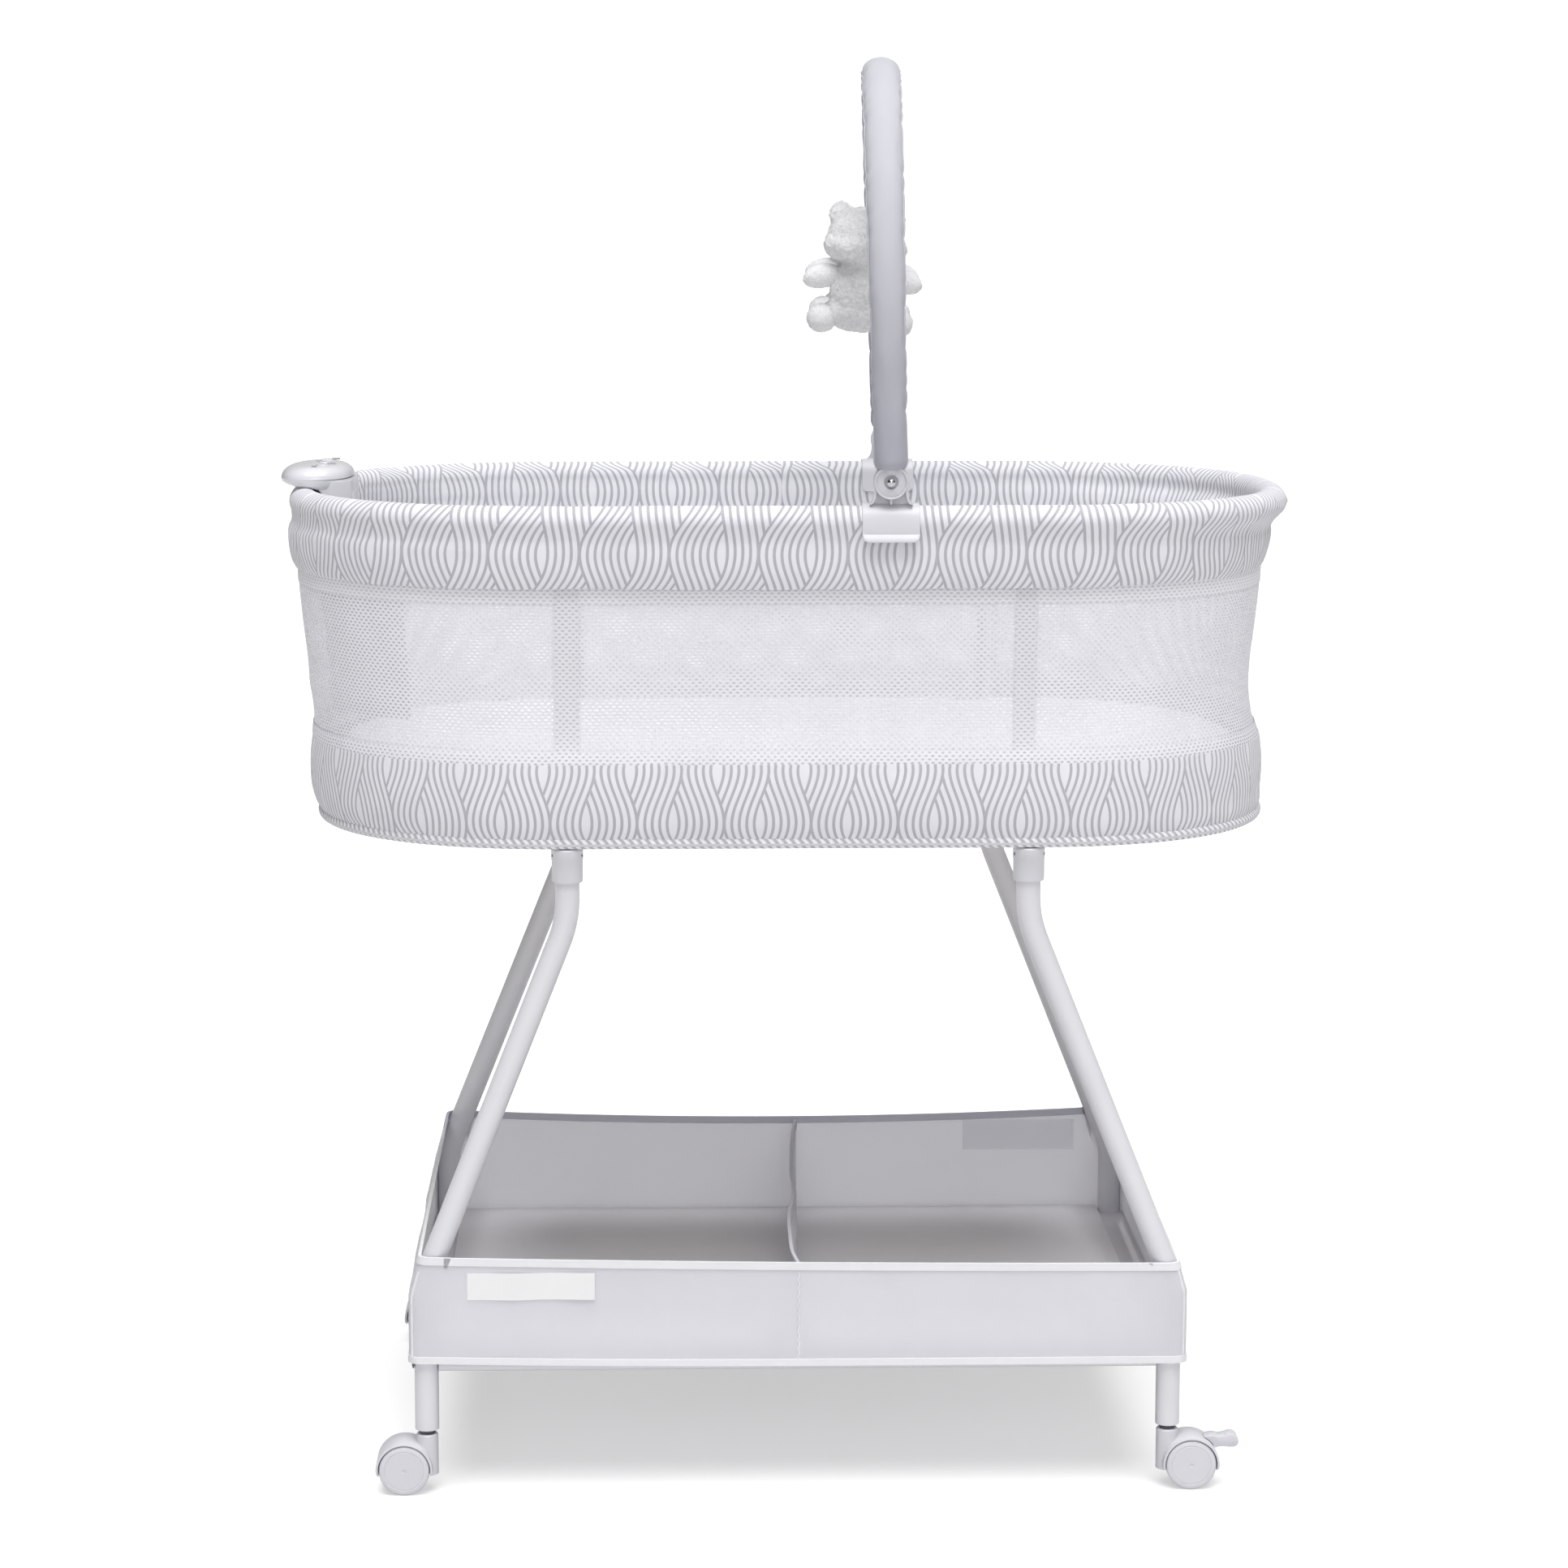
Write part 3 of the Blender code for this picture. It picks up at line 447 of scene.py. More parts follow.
class Finish:
    """A Principled material built from nodes."""

    def __init__(self, name, colour, roughness=0.5, metallic=0.0, **levels):
        self.material = bpy.data.materials.new(name)
        self.material.use_nodes = True
        self.tree = self.material.node_tree
        self.shader = self.tree.nodes["Principled BSDF"]
        self.set("Base Color", (*colour, 1.0))
        self.set("Roughness", roughness)
        self.set("Metallic", metallic)
        for key, value in levels.items():
            self.set(key.replace("_", " ").title().replace("Ior", "IOR"), value)

    def set(self, socket, value):
        self.shader.inputs[socket].default_value = value

    def node(self, kind, **settings):
        made = self.tree.nodes.new("ShaderNode" + kind)
        for key, value in settings.items():
            setattr(made, key, value)
        return made

    def feed(self, socket, value):
        if isinstance(value, bpy.types.NodeSocket):
            self.tree.links.new(value, socket)
        else:
            socket.default_value = value

    def maths(self, operation, a, b=0.0, c=0.0):
        made = self.node("Math", operation=operation)
        for socket, value in zip(made.inputs, (a, b, c)):
            self.feed(socket, value)
        return made.outputs[0]

    def coordinates(self, kind="Object"):
        return self.node("TexCoord").outputs[kind]

    def split(self, vector):
        made = self.node("SeparateXYZ")
        self.feed(made.inputs[0], vector)
        return made.outputs

    def stretched(self, vector, scale):
        made = self.node("VectorMath", operation="MULTIPLY")
        self.feed(made.inputs[0], vector)
        made.inputs[1].default_value = scale
        return made.outputs[0]

    def noise(self, vector, scale, detail=3.0, roughness=0.55):
        made = self.node("TexNoise")
        self.feed(made.inputs["Vector"], vector)
        made.inputs["Scale"].default_value = scale
        made.inputs["Detail"].default_value = detail
        made.inputs["Roughness"].default_value = roughness
        return made.outputs["Fac"]

    def cells(self, vector, scale):
        made = self.node("TexVoronoi")
        self.feed(made.inputs["Vector"], vector)
        made.inputs["Scale"].default_value = scale
        return made.outputs["Distance"]

    def spread(self, value, low, high, to_low=0.0, to_high=1.0):
        made = self.node("MapRange")
        self.feed(made.inputs["Value"], value)
        for key, number in zip(("From Min", "From Max", "To Min", "To Max"), (low, high, to_low, to_high)):
            made.inputs[key].default_value = number
        return made.outputs["Result"]

    def blend(self, factor, a, b):
        made = self.node("Mix", data_type="RGBA")
        self.feed(made.inputs["Factor"], factor)
        for socket, value in ((made.inputs[6], a), (made.inputs[7], b)):
            self.feed(socket, (*value, 1.0) if isinstance(value, tuple) and len(value) == 3 else value)
        return made.outputs[2]

    def colour(self, value):
        self.feed(self.shader.inputs["Base Color"], value)

    def rough(self, value):
        self.feed(self.shader.inputs["Roughness"], value)

    def bump(self, height, strength, distance):
        made = self.node("Bump")
        made.inputs["Strength"].default_value = strength
        made.inputs["Distance"].default_value = distance
        self.feed(made.inputs["Height"], height)
        self.feed(self.shader.inputs["Normal"], made.outputs["Normal"])


def scaled(colour, factor):
    """A lighter or darker colour, not above white."""
    return tuple(min(1.0, k * factor) for k in colour)


def plain_finish(name, colour, roughness, grain, depth, vary, metallic=0.0, **levels):
    """Moulded or coated surface: faint mottling, a little uneven gloss and a fine grain."""
    made = Finish(name, colour, roughness, metallic, **levels)
    where = made.coordinates()
    cloud = made.noise(where, 18.0, 4.0)
    made.colour(made.blend(made.spread(cloud, 0.3, 0.7), scaled(colour, 1 - vary), scaled(colour, 1 + vary)))
    made.rough(made.spread(made.noise(where, 55.0, 3.0), 0.3, 0.7, roughness * 0.85, roughness * 1.15))
    made.bump(made.noise(where, grain, 2.0), 0.35, depth)
    return made.material


def woven(made, where, pitch, strength, distance):
    """Over-and-under threads as a bump, on coordinates in metres."""
    x, y, _ = made.split(where)
    warp = made.maths("SINE", made.maths("MULTIPLY", x, math.tau / pitch))
    weft = made.maths("SINE", made.maths("MULTIPLY", y, math.tau / pitch))
    cloth = made.maths("MULTIPLY", warp, weft)
    soft = made.noise(where, 220.0, 3.0)
    made.bump(made.maths("MULTIPLY_ADD", soft, 1.5, cloth), strength, distance)


def cloth_finish(name, colour, pitch=0.0006, vary=0.03, roughness=0.9, sheen=0.15, distance=0.00012):
    """Plain woven cloth with a soft mottling."""
    made = Finish(name, colour, roughness, sheen_weight=sheen, sheen_roughness=0.5, specular_ior_level=0.25)
    cloud = made.noise(made.coordinates(), 30.0, 4.0)
    made.colour(made.blend(made.spread(cloud, 0.3, 0.7), scaled(colour, 1 - vary), scaled(colour, 1 + vary)))
    woven(made, made.coordinates("UV"), pitch, 0.4, distance)
    return made


def print_finish(name, repeat, stripe, first_curve, second_curve, first_leads):
    """White cotton printed with two families of wavy ribbons, seven stripes in each.

    Each curve gives the middle of a ribbon in mm against the drop in units of 60 mm, lowest power first.
    """
    made = Finish(name, (0.85, 0.85, 0.87), 0.88, sheen_weight=0.12, specular_ior_level=0.25)
    u, v, _ = made.split(made.coordinates("UV"))
    x = made.maths("MULTIPLY", u, 1000.0)
    drop = made.maths("MULTIPLY", made.maths("ABSOLUTE", v), 1000.0 / 60.0)
    dark = 2.3
    width = 6 * stripe + dark

    def ribbon(curve):
        centre = curve[-1]
        for term in reversed(curve[:-1]):
            centre = made.maths("MULTIPLY_ADD", centre, drop, term)
        return made.maths("WRAP", made.maths("SUBTRACT", x, centre), repeat / 2, -repeat / 2)

    def inside(apart):
        return made.maths("LESS_THAN", made.maths("ABSOLUTE", apart), width / 2)

    def stripes(apart):
        place = made.maths("WRAP", made.maths("ADD", apart, width / 2), stripe, 0.0)
        near = made.maths("ABSOLUTE", made.maths("SUBTRACT", place, dark / 2))
        far = made.maths("ABSOLUTE", made.maths("SUBTRACT", place, stripe + dark / 2))
        return made.spread(made.maths("MINIMUM", near, far), dark / 2 - 0.22, dark / 2 + 0.22, 1.0, 0.0)

    first = ribbon(first_curve)
    second = ribbon(second_curve)
    first_on = inside(first)
    second_on = inside(second)
    lead = made.maths("LESS_THAN" if first_leads else "GREATER_THAN", first, second)
    clear = made.maths("SUBTRACT", 1.0, second_on)
    first_top = made.maths("MULTIPLY", first_on, made.maths("MAXIMUM", clear, lead))
    second_top = made.maths("MULTIPLY", second_on, made.maths("SUBTRACT", 1.0, first_top))
    ink = made.maths("ADD", made.maths("MULTIPLY", first_top, stripes(first)),
                     made.maths("MULTIPLY", second_top, stripes(second)))
    cloud = made.noise(made.coordinates(), 40.0, 4.0)
    paper = made.blend(made.spread(cloud, 0.3, 0.7), (0.82, 0.82, 0.87), (0.87, 0.87, 0.91))
    grain = made.spread(made.noise(made.coordinates(), 900.0, 2.0), 0.35, 0.65, 0.90, 1.0)
    made.colour(made.blend(made.maths("MULTIPLY", ink, grain), paper, (0.475, 0.475, 0.515)))
    woven(made, made.coordinates("UV"), 0.0007, 0.35, 0.00012)
    return made.material


def piping_finish():
    """The same print cut on the bias, so that its stripes run round the piping at a slant."""
    made = Finish("bias_piping", (0.85, 0.85, 0.87), 0.88, sheen_weight=0.12, specular_ior_level=0.25)
    u, v, _ = made.split(made.coordinates("UV"))
    slant = made.maths("MULTIPLY_ADD", v, 0.020, u)
    place = made.maths("FRACT", made.maths("MULTIPLY", slant, 1 / 0.0066))
    ink = made.spread(made.maths("ABSOLUTE", made.maths("SUBTRACT", place, 0.5)), 0.22, 0.27, 1.0, 0.0)
    cloud = made.spread(made.noise(made.coordinates(), 60.0, 3.0), 0.3, 0.7)
    paper = made.blend(cloud, (0.82, 0.82, 0.85), (0.88, 0.88, 0.90))
    made.colour(made.blend(ink, paper, (0.49, 0.49, 0.53)))
    made.bump(made.noise(made.coordinates(), 1400.0, 2.0), 0.4, 0.0001)
    return made.material


def mesh_finish(name, hole, colour, painted_hole_shade=None):
    """Knitted mesh with staggered holes, open or with its holes filled in a darker colour as painted shade of
    what lies behind them. UVs are in metres.
    """
    made = Finish(name, colour, 0.85, sheen_weight=0.1, specular_ior_level=0.3)
    u, v, _ = made.split(made.coordinates("UV"))
    wobble = made.maths("MULTIPLY_ADD", made.noise(made.coordinates(), 45.0, 2.0), 0.30, -0.15)
    a = made.maths("MULTIPLY_ADD", u, 1 / 0.0053, wobble)
    b = made.maths("MULTIPLY_ADD", v, 1 / 0.0052, wobble)

    def distance(shift):
        da = made.maths("SUBTRACT", made.maths("FRACT", made.maths("ADD", a, shift)), 0.5)
        db = made.maths("SUBTRACT", made.maths("FRACT", made.maths("ADD", b, shift)), 0.5)
        da = made.maths("POWER", made.maths("ABSOLUTE", da), 1.5)
        db = made.maths("POWER", made.maths("ABSOLUTE", db), 1.5)
        return made.maths("ADD", made.maths("MULTIPLY", da, 0.9), made.maths("MULTIPLY", db, 2.2))

    near = made.maths("MINIMUM", distance(0.0), distance(0.5))
    thread = made.spread(near, hole - 0.012, hole + 0.012)
    if painted_hole_shade is None:
        made.feed(made.shader.inputs["Alpha"], made.spread(thread, 0.0, 1.0, 0.46, 1.0))
        cloud = made.spread(made.noise(made.coordinates(), 25.0), 0.3, 0.7)
        made.colour(made.blend(cloud, colour, scaled(colour, 0.96)))
    else:
        # Painted shade: the holes take the darker colour of the shaded post or layer behind the doubled mesh.
        made.colour(made.blend(thread, painted_hole_shade, colour))
    made.bump(made.maths("ADD", near, made.maths("MULTIPLY", made.noise(made.coordinates(), 1500.0), 0.1)),
              0.5, 0.0006)
    return made.material


def plush_finish(name, scale, distance, colour=(0.92, 0.92, 0.94)):
    """Short curly pile, with painted shade in the low hollows between curls."""
    made = Finish(name, colour, 1.0, sheen_weight=0.5, sheen_roughness=0.6, specular_ior_level=0.1)
    where = made.coordinates()
    curls = made.cells(where, scale)
    fine = made.noise(where, scale * 2.2, 4.0, 0.7)
    height = made.maths("SUBTRACT", fine, curls)
    # Painted shade: the pile is darker in the low hollows between curls and lighter on their tops.
    shade = made.spread(height, -0.5, 0.5)
    made.colour(made.blend(shade, scaled(colour, 0.86), scaled(colour, 1.08)))
    made.bump(height, 0.7, distance)
    return made.material


def sheer_finish(name, colour, opacity):
    """Thin woven polyester that lets some light and shapes through, with painted light making it lighter on
    the basket's rear wall, where it sits in shade.
    """
    made = cloth_finish(name, colour, 0.0008, 0.03, 0.75, 0.1, 0.00008)
    if opacity < 1.0:
        x, y, _ = made.split(made.coordinates("UV"))
        threads = made.maths("MULTIPLY", made.maths("SINE", made.maths("MULTIPLY", x, math.tau / 0.0009)),
                             made.maths("SINE", made.maths("MULTIPLY", y, math.tau / 0.0009)))
        cover = made.spread(threads, -1.0, 1.0, opacity - 0.06, opacity + 0.06)
        made.feed(made.shader.inputs["Alpha"], cover)
    # Painted light: the rear colours are 7 % lighter to lift the shade on the basket's rear wall.
    painted_rear_light_and_shade(made, (scaled(colour, 0.96), colour), (scaled(colour, 1.07), scaled(colour, 1.07)))
    return made.material


def tape_finish(name, colour):
    """Woven binding tape, white in front and darkened to lilac grey along the basket's rear edge as painted
    shade.
    """
    made = cloth_finish(name, colour, 0.0008, 0.03, 0.7, 0.1, 0.00008)
    # Painted shade: the rear colours darken the tape's inner face along the basket's rear edge.
    painted_rear_light_and_shade(made, (colour, scaled(colour, 0.95)), ((0.62, 0.62, 0.70), (0.58, 0.58, 0.66)))
    return made.material


def painted_rear_light_and_shade(made, front, rear):
    """Two mottled colours, one for the front of the object and one for its rear; the rear colours are painted
    light and shade, not the cloth's own colour.
    """
    _, depth, _ = made.split(made.coordinates())
    cloud = made.noise(made.coordinates(), 60.0, 3.0)
    behind = made.spread(depth, 0.15, 0.20)
    made.colour(made.blend(behind, made.blend(cloud, *front), made.blend(cloud, *rear)))


def sleeve_finish():
    """Padded grey cotton, lighter towards the top of the arch as painted light from overhead."""
    made = cloth_finish("grey_padded_cotton", (0.50, 0.50, 0.56), 0.0007, 0.04)
    _, _, height = made.split(made.coordinates())
    # Painted light: the colour is lighter higher up, where the arch's top faces the overhead light.
    painted_top_light = made.maths("MULTIPLY_ADD", made.noise(made.coordinates(), 35.0, 3.0), 0.06, height)
    made.colour(made.blend(made.spread(painted_top_light, 0.84, 1.12), (0.43, 0.43, 0.49), (0.60, 0.60, 0.65)))
    return made.material


def board_finish(name):
    """Fibreboard: flecks and a fine felted grain."""
    made = Finish(name, (0.62, 0.56, 0.47), 0.8)
    where = made.coordinates()
    flecks = made.noise(made.stretched(where, (1.0, 1.0, 6.0)), 160.0, 6.0, 0.7)
    made.colour(made.blend(made.spread(flecks, 0.3, 0.7), (0.50, 0.44, 0.36), (0.70, 0.64, 0.55)))
    made.bump(flecks, 0.5, 0.0003)
    return made.material


# Each finish with a slot name beside it.
FINISH = {
    "cover_print": (print_finish("cover_print", 68.4, 5.9, (-63.5, -40, -46, 140, -67),
                                 (-42, 0, 40, -55.5, 11.5), True), "printed_fabric"),
    "band_print": (print_finish("band_print", 67.4, 5.8, (-85.5, -11.5, 101, -112.5, 29),
                                (-108.5, 8, -89, 90, -16), False), "printed_fabric"),
    "piping": (piping_finish(), "printed_fabric"),
    "mesh": (mesh_finish("open_mesh", 0.130, (0.86, 0.86, 0.91)), "mesh_fabric"),
    # The doubled mesh and the post sleeves take a darker hole colour as painted shade of what lies behind
    # them.
    "mesh_dense": (mesh_finish("doubled_mesh", 0.150, (0.90, 0.90, 0.94), (0.66, 0.66, 0.71)), "mesh_fabric"),
    "mesh_sleeve": (mesh_finish("mesh_sleeve", 0.125, (0.82, 0.82, 0.86), (0.55, 0.55, 0.60)), "mesh_fabric"),
    "care_patch": (sheer_finish("care_patch", (0.60, 0.60, 0.65), 0.75), "pad_fabric"),
    "white_steel": (plain_finish("white_enamel", (0.74, 0.74, 0.78), 0.34, 700.0, 0.00006, 0.02,
                                 coat_weight=0.25), "white_steel"),
    "white_plastic": (plain_finish("white_plastic", (0.68, 0.68, 0.72), 0.36, 1500.0, 0.00003, 0.02),
                      "white_plastic"),
    "gloss_plastic": (plain_finish("gloss_plastic", (0.76, 0.76, 0.80), 0.22, 900.0, 0.00002, 0.02,
                                   coat_weight=0.4), "white_plastic"),
    "milky": (plain_finish("milky_plastic", (0.66, 0.66, 0.70), 0.30, 900.0, 0.00003, 0.02,
                           subsurface_weight=0.25, subsurface_scale=0.004), "clear_plastic"),
    "dark_steel": (plain_finish("dark_steel", (0.16, 0.16, 0.17), 0.38, 2200.0, 0.00004, 0.15, 1.0),
                   "dark_steel"),
    "bright_steel": (plain_finish("bright_steel", (0.66, 0.66, 0.68), 0.22, 2200.0, 0.00003, 0.06, 1.0),
                     "bright_steel"),
    "grey_plastic": (plain_finish("grey_plastic", (0.40, 0.40, 0.44), 0.45, 1200.0, 0.00005, 0.06),
                     "grey_plastic"),
    "sheet": (cloth_finish("cotton_sheet", (0.88, 0.88, 0.89)).material, "pad_fabric"),
    "label": (cloth_finish("satin_label", (0.93, 0.93, 0.94), 0.0004, 0.01, 0.5, 0.05).material,
              "pad_fabric"),
    "sheer": (sheer_finish("sheer_polyester", (0.86, 0.86, 0.91), 0.70), "sheer_fabric"),
    "grey_sheer": (sheer_finish("grey_sheer", (0.84, 0.84, 0.90), 0.22), "sheer_fabric"),
    "storage_base": (sheer_finish("storage_base_cloth", (0.80, 0.80, 0.84), 1.0), "board"),
    "tape": (tape_finish("binding_tape", (0.88, 0.88, 0.91)), "sheer_fabric"),
    "grey_tape": (tape_finish("grey_tape", (0.66, 0.66, 0.73)), "sheer_fabric"),
    "sleeve": (sleeve_finish(), "sleeve_fabric"),
    "sleeve_piping": (cloth_finish("grey_piping", (0.56, 0.56, 0.62), 0.0007, 0.04).material,
                      "sleeve_fabric"),
    "plush": (plush_finish("curly_plush", 420.0, 0.0012), "plush"),
    "plush_smooth": (plush_finish("smooth_plush", 700.0, 0.0005), "plush"),
    "board": (board_finish("fibreboard"), "board"),
    "ribbon": (cloth_finish("satin_ribbon", (0.90, 0.90, 0.91), 0.0004, 0.01, 0.55, 0.05).material, "plush"),
}


# ---------------------------------------------------------------- basket

COUNT = 640
SLEEVE_HALF_WIDTH = 0.0105


def end_sway(x):
    """How far out the cloth stands at an end: negative at the right end, positive at the left one."""
    return -np.clip(x / 0.406, -1, 1) ** 3


def rim_cover():
    """Printed cover over the rim: a roll, a soft crease under it, a skirt outside and a flat one inside."""
    outer = [(-0.0092, 0.7160), (-0.0064, 0.7215), (-0.0044, 0.7310), (-0.0038, 0.7430), (-0.0040, 0.7530)]
    roll = circle_arc((-ROLL_RADIUS, 0.768), ROLL_RADIUS, -26, 190, 21)
    inner = [(-0.0252, 0.7560), (-0.0266, 0.7450), (-0.0285, 0.7300), (-0.0302, 0.7162)]
    line = smooth_line(outer + roll + inner, 66)
    crown = int(np.argmax(line[:, 1]))
    section = thick_section(line, 0.0013)
    drop = COVER_TOP - line[:, 1]
    inside = np.clip(drop[crown:] / 0.008, 0, 1)
    drop[crown:] = -drop[crown:] - 0.012 * inside ** 2 * (3 - 2 * inside)
    v = np.concatenate([drop, drop[::-1]])

    def bend(base, offset, height):
        ring = in_space(base)
        hem = 0.0016 * wave_noise(ring, 9.0, 3.0)
        soft = wave_noise(ring, 16.0, 8.0)
        tucks = np.abs(wave_noise(ring, 52.0, 1.0, 1))
        fine = wave_noise(ring, 95.0, 5.0, 1)
        sway = end_sway(base[:, 0])
        right = np.clip(-sway, 0, 1)
        for j in range(len(section)):
            z = section[j][1]
            free = ramp(0.762 - z, 0.014)
            low = ramp(0.745 - z, 0.03)
            waist = bell(z, 0.7540, 0.0050) * (0.35 + 0.65 * np.abs(sway))
            offset[j] += waist * 0.0011 * (tucks - 1) + bell(z, 0.728, 0.012) * 0.0009 * soft
            offset[j] += low * (0.0004 * fine - 0.0003 * tucks)
            offset[j] += bell(z, 0.7390, 0.0070) * (0.0012 * fine + 0.0010 * soft)
            offset[j] += right * free * 0.0014 * tucks - 0.0036 * right
            offset[j] += free * (sway * 0.0052 - right * 0.0048 * (0.8 + 0.6 * low))
            height[j] += low * hem + bell(z, 0.776, 0.008) * 0.0003 * soft
        return offset, height

    mesh = round_oval("rim_cover_cloth", section, COUNT * 2, v, True, bend)
    return put("rim_cover_cloth", mesh, "cover_print", "rim_cover")


def band_sway(x):
    """The lower band stands in at the right end."""
    return np.where(x > 0, 0.0050, 0.0012) * end_sway(x)


def lower_band():
    """Printed band round the floor, its bias piping and the lip that turns under the board."""
    line = smooth_line([(-0.0172, 0.5790), (-0.0158, 0.5690), (-0.0150, 0.5560), (-0.0156, 0.5400),
                        (-0.0178, 0.5280), (-0.0206, 0.5215)], 26)
    lip = smooth_line([(-0.0225, 0.5165), (-0.0245, 0.5128), (-0.0340, 0.5119)], 10)
    section = thick_section(np.concatenate([line, lip])[::-1], 0.0012)
    drop = BAND_TOP - np.concatenate([line, lip])[::-1, 1]
    v = np.concatenate([drop, drop[::-1]])

    def bend(base, offset, height):
        ring = in_space(base)
        soft = wave_noise(ring, 14.0, 21.0)
        fine = wave_noise(ring, 60.0, 25.0, 1)
        for j in range(len(section)):
            z = section[j][1]
            offset[j] += bell(z, 0.547, 0.018) * 0.0011 * soft + bell(z, 0.5235, 0.006) * 0.0006 * fine
            offset[j] += ramp(z - 0.5165, 0.02) * band_sway(base[:, 0])
        return offset, height

    mesh = round_oval("lower_band_cloth", section, COUNT * 2, v, True, bend)
    piece = put("lower_band_cloth", mesh, "band_print", "lower_band")
    circle = [(-0.0232 + 0.0036 * math.cos(a), 0.5166 + 0.0044 * math.sin(a))
              for a in np.linspace(0, math.tau, 15)[:-1]]
    cord = round_oval("lower_piping", circle, COUNT * 2, np.linspace(0, 1, 14), True)
    return piece, put("lower_piping", cord, "piping")


WALL = smooth_line([(-0.0190, 0.5700), (-0.0184, 0.5790), (-0.0218, 0.5930), (-0.0232, 0.6120),
                    (-0.0222, 0.6400), (-0.0190, 0.6680), (-0.0158, 0.7000), (-0.0148, 0.7210)], 30)


def wall_bend(base, offset, height):
    """Soft waves in the mesh, and its sway at the ends of the basket."""
    ring = in_space(base)
    soft = wave_noise(ring, 11.0, 31.0)
    for j in range(len(offset)):
        z = height[j][0]
        free = math.sin(math.pi * ramp(z - 0.578, 0.138))
        share = ramp(z - 0.575, 0.045)
        offset[j] += 0.0014 * free * soft + mix(band_sway(base[:, 0]), 0.0088 * end_sway(base[:, 0]), share)
    return offset, height


def wall_part(name, finish, low, high, shift, part=None, node=None):
    """A strip of the mesh wall between two heights, set in or out a little."""
    heights = np.linspace(low, high, max(3, int((high - low) / 0.005)))
    order = np.argsort(WALL[:, 1])
    offsets = np.interp(heights, WALL[order, 1], WALL[order, 0]) + shift
    section = np.column_stack([offsets, heights])
    mesh = round_oval(name, section, COUNT, heights, False, wall_bend, part)
    return put(name, mesh, finish, node)


def walls():
    """Mesh wall, its doubled edges, the sleeves round the posts and the patch behind it."""
    wall = wall_part("mesh_wall_cloth", "mesh", 0.5705, 0.7205, 0.0, node="mesh_wall")
    strips = [wall_part("mesh_seam_upper", "mesh_dense", 0.7040, 0.7200, 0.0005),
              wall_part("mesh_seam_lower", "mesh", 0.5720, 0.5890, 0.0009)]
    total = oval_table(COUNT)[2][-1]
    middles = {"front_right": 0.175, "front_left": total - 0.179,
               "rear_right": total / 2 - 0.179, "rear_left": total / 2 + 0.179}
    for where, middle in middles.items():
        strips.append(wall_part(f"post_sleeve_{where}", "mesh_sleeve", 0.5780, 0.7180, 0.0008,
                                (middle - SLEEVE_HALF_WIDTH, middle + SLEEVE_HALF_WIDTH)))
    patch_end = total - 0.312
    patch = wall_part("care_patch", "care_patch", 0.6095, 0.7050, -0.0022, (patch_end - 0.108, patch_end))
    return wall, strips, patch


def mattress():
    """Foam pad in a cotton sheet, plumped by a short cloth simulation."""
    low = 0.5236
    top = 0.5772
    levels = ((-0.016, low), (-0.006, low + 0.003), (-0.001, low + 0.010), (0.0, low + 0.020),
              (0.0, top - 0.016), (-0.003, top - 0.006), (-0.010, top - 0.001))
    base, normal, _ = oval_table(200)
    loops = [[(x * 1.03, y, z) for x, y in (base + normal * (inset - 0.041))[:-1]] for inset, z in levels]
    mesh = shaped(skin("mattress_blank", loops, caps=True), ("REMESH", 0.0055))
    rest = np.array([v.co for v in mesh.vertices])
    piece = bpy.data.objects.new("mattress_blank", mesh)
    bpy.context.scene.collection.objects.link(piece)
    cloth = piece.modifiers.new("Cloth", "CLOTH")
    for key, value in (("quality", 4), ("mass", 0.3), ("use_pressure", True),
                       ("uniform_pressure_force", 4.0), ("tension_stiffness", 25.0),
                       ("compression_stiffness", 25.0), ("bending_stiffness", 2.0)):
        setattr(cloth.settings, key, value)
    cloth.settings.effector_weights.gravity = 0.0
    cloth.collision_settings.use_collision = False
    cloth.point_cache.frame_start = 1
    cloth.point_cache.frame_end = 20
    for step in range(1, 21):
        bpy.context.scene.frame_set(step)
    moved = piece.evaluated_get(bpy.context.evaluated_depsgraph_get())
    after = np.array([v.co for v in moved.data.vertices])
    bpy.context.scene.frame_set(1)
    bpy.data.objects.remove(piece, do_unlink=True)
    move = after - rest
    length = np.linalg.norm(move, axis=1)
    after = rest + move * (np.minimum(length, 0.006) / np.maximum(length, 1e-9))[:, None]
    after[:, 2] = np.clip(after[:, 2], low, 0.5905)
    creases = wave_noise(after, (9.0, 22.0, 9.0), 4.0, 3)
    after[:, 2] += ramp(after[:, 2] - 0.56, 0.02) * creases * 0.0012
    for vertex, place in zip(mesh.vertices, after):
        vertex.co = place
    mesh = shaped(mesh, ("SUBSURF", 1))
    layer = mesh.uv_layers.new(name="UVMap")
    spots = np.zeros(len(mesh.vertices) * 3)
    mesh.vertices.foreach_get("co", spots)
    index = np.zeros(len(mesh.loops), int)
    mesh.loops.foreach_get("vertex_index", index)
    spots = spots.reshape(-1, 3)[index]
    flat = np.stack([spots[:, 0], spots[:, 1] + spots[:, 2]], 1)
    layer.data.foreach_set("uv", flat.astype(np.float32).ravel())
    return put("mattress_in_sheet", tidy_mesh(mesh, 60), "sheet", "mattress_pad")


def posts():
    """Bars from the floor board to the rim, behind the mesh."""
    line = ((0.193, 0.523), (0.193, 0.620), (0.203, 0.716), (0.2115, 0.758))
    for where, sx, sy in CORNERS:
        path = resampled([(sx * 0.179, sy * y, z) for y, z in line], 0.01)
        put(f"post_bar_{where}", pipe("post", path, (1, 0, 0), 0.0044, 16), "white_steel", f"post_{where}")


# ---------------------------------------------------------------- stand

def half_turn(side):
    """The turn about Z that carries a piece made for the right side over to a side."""
    return 0 if side > 0 else math.pi


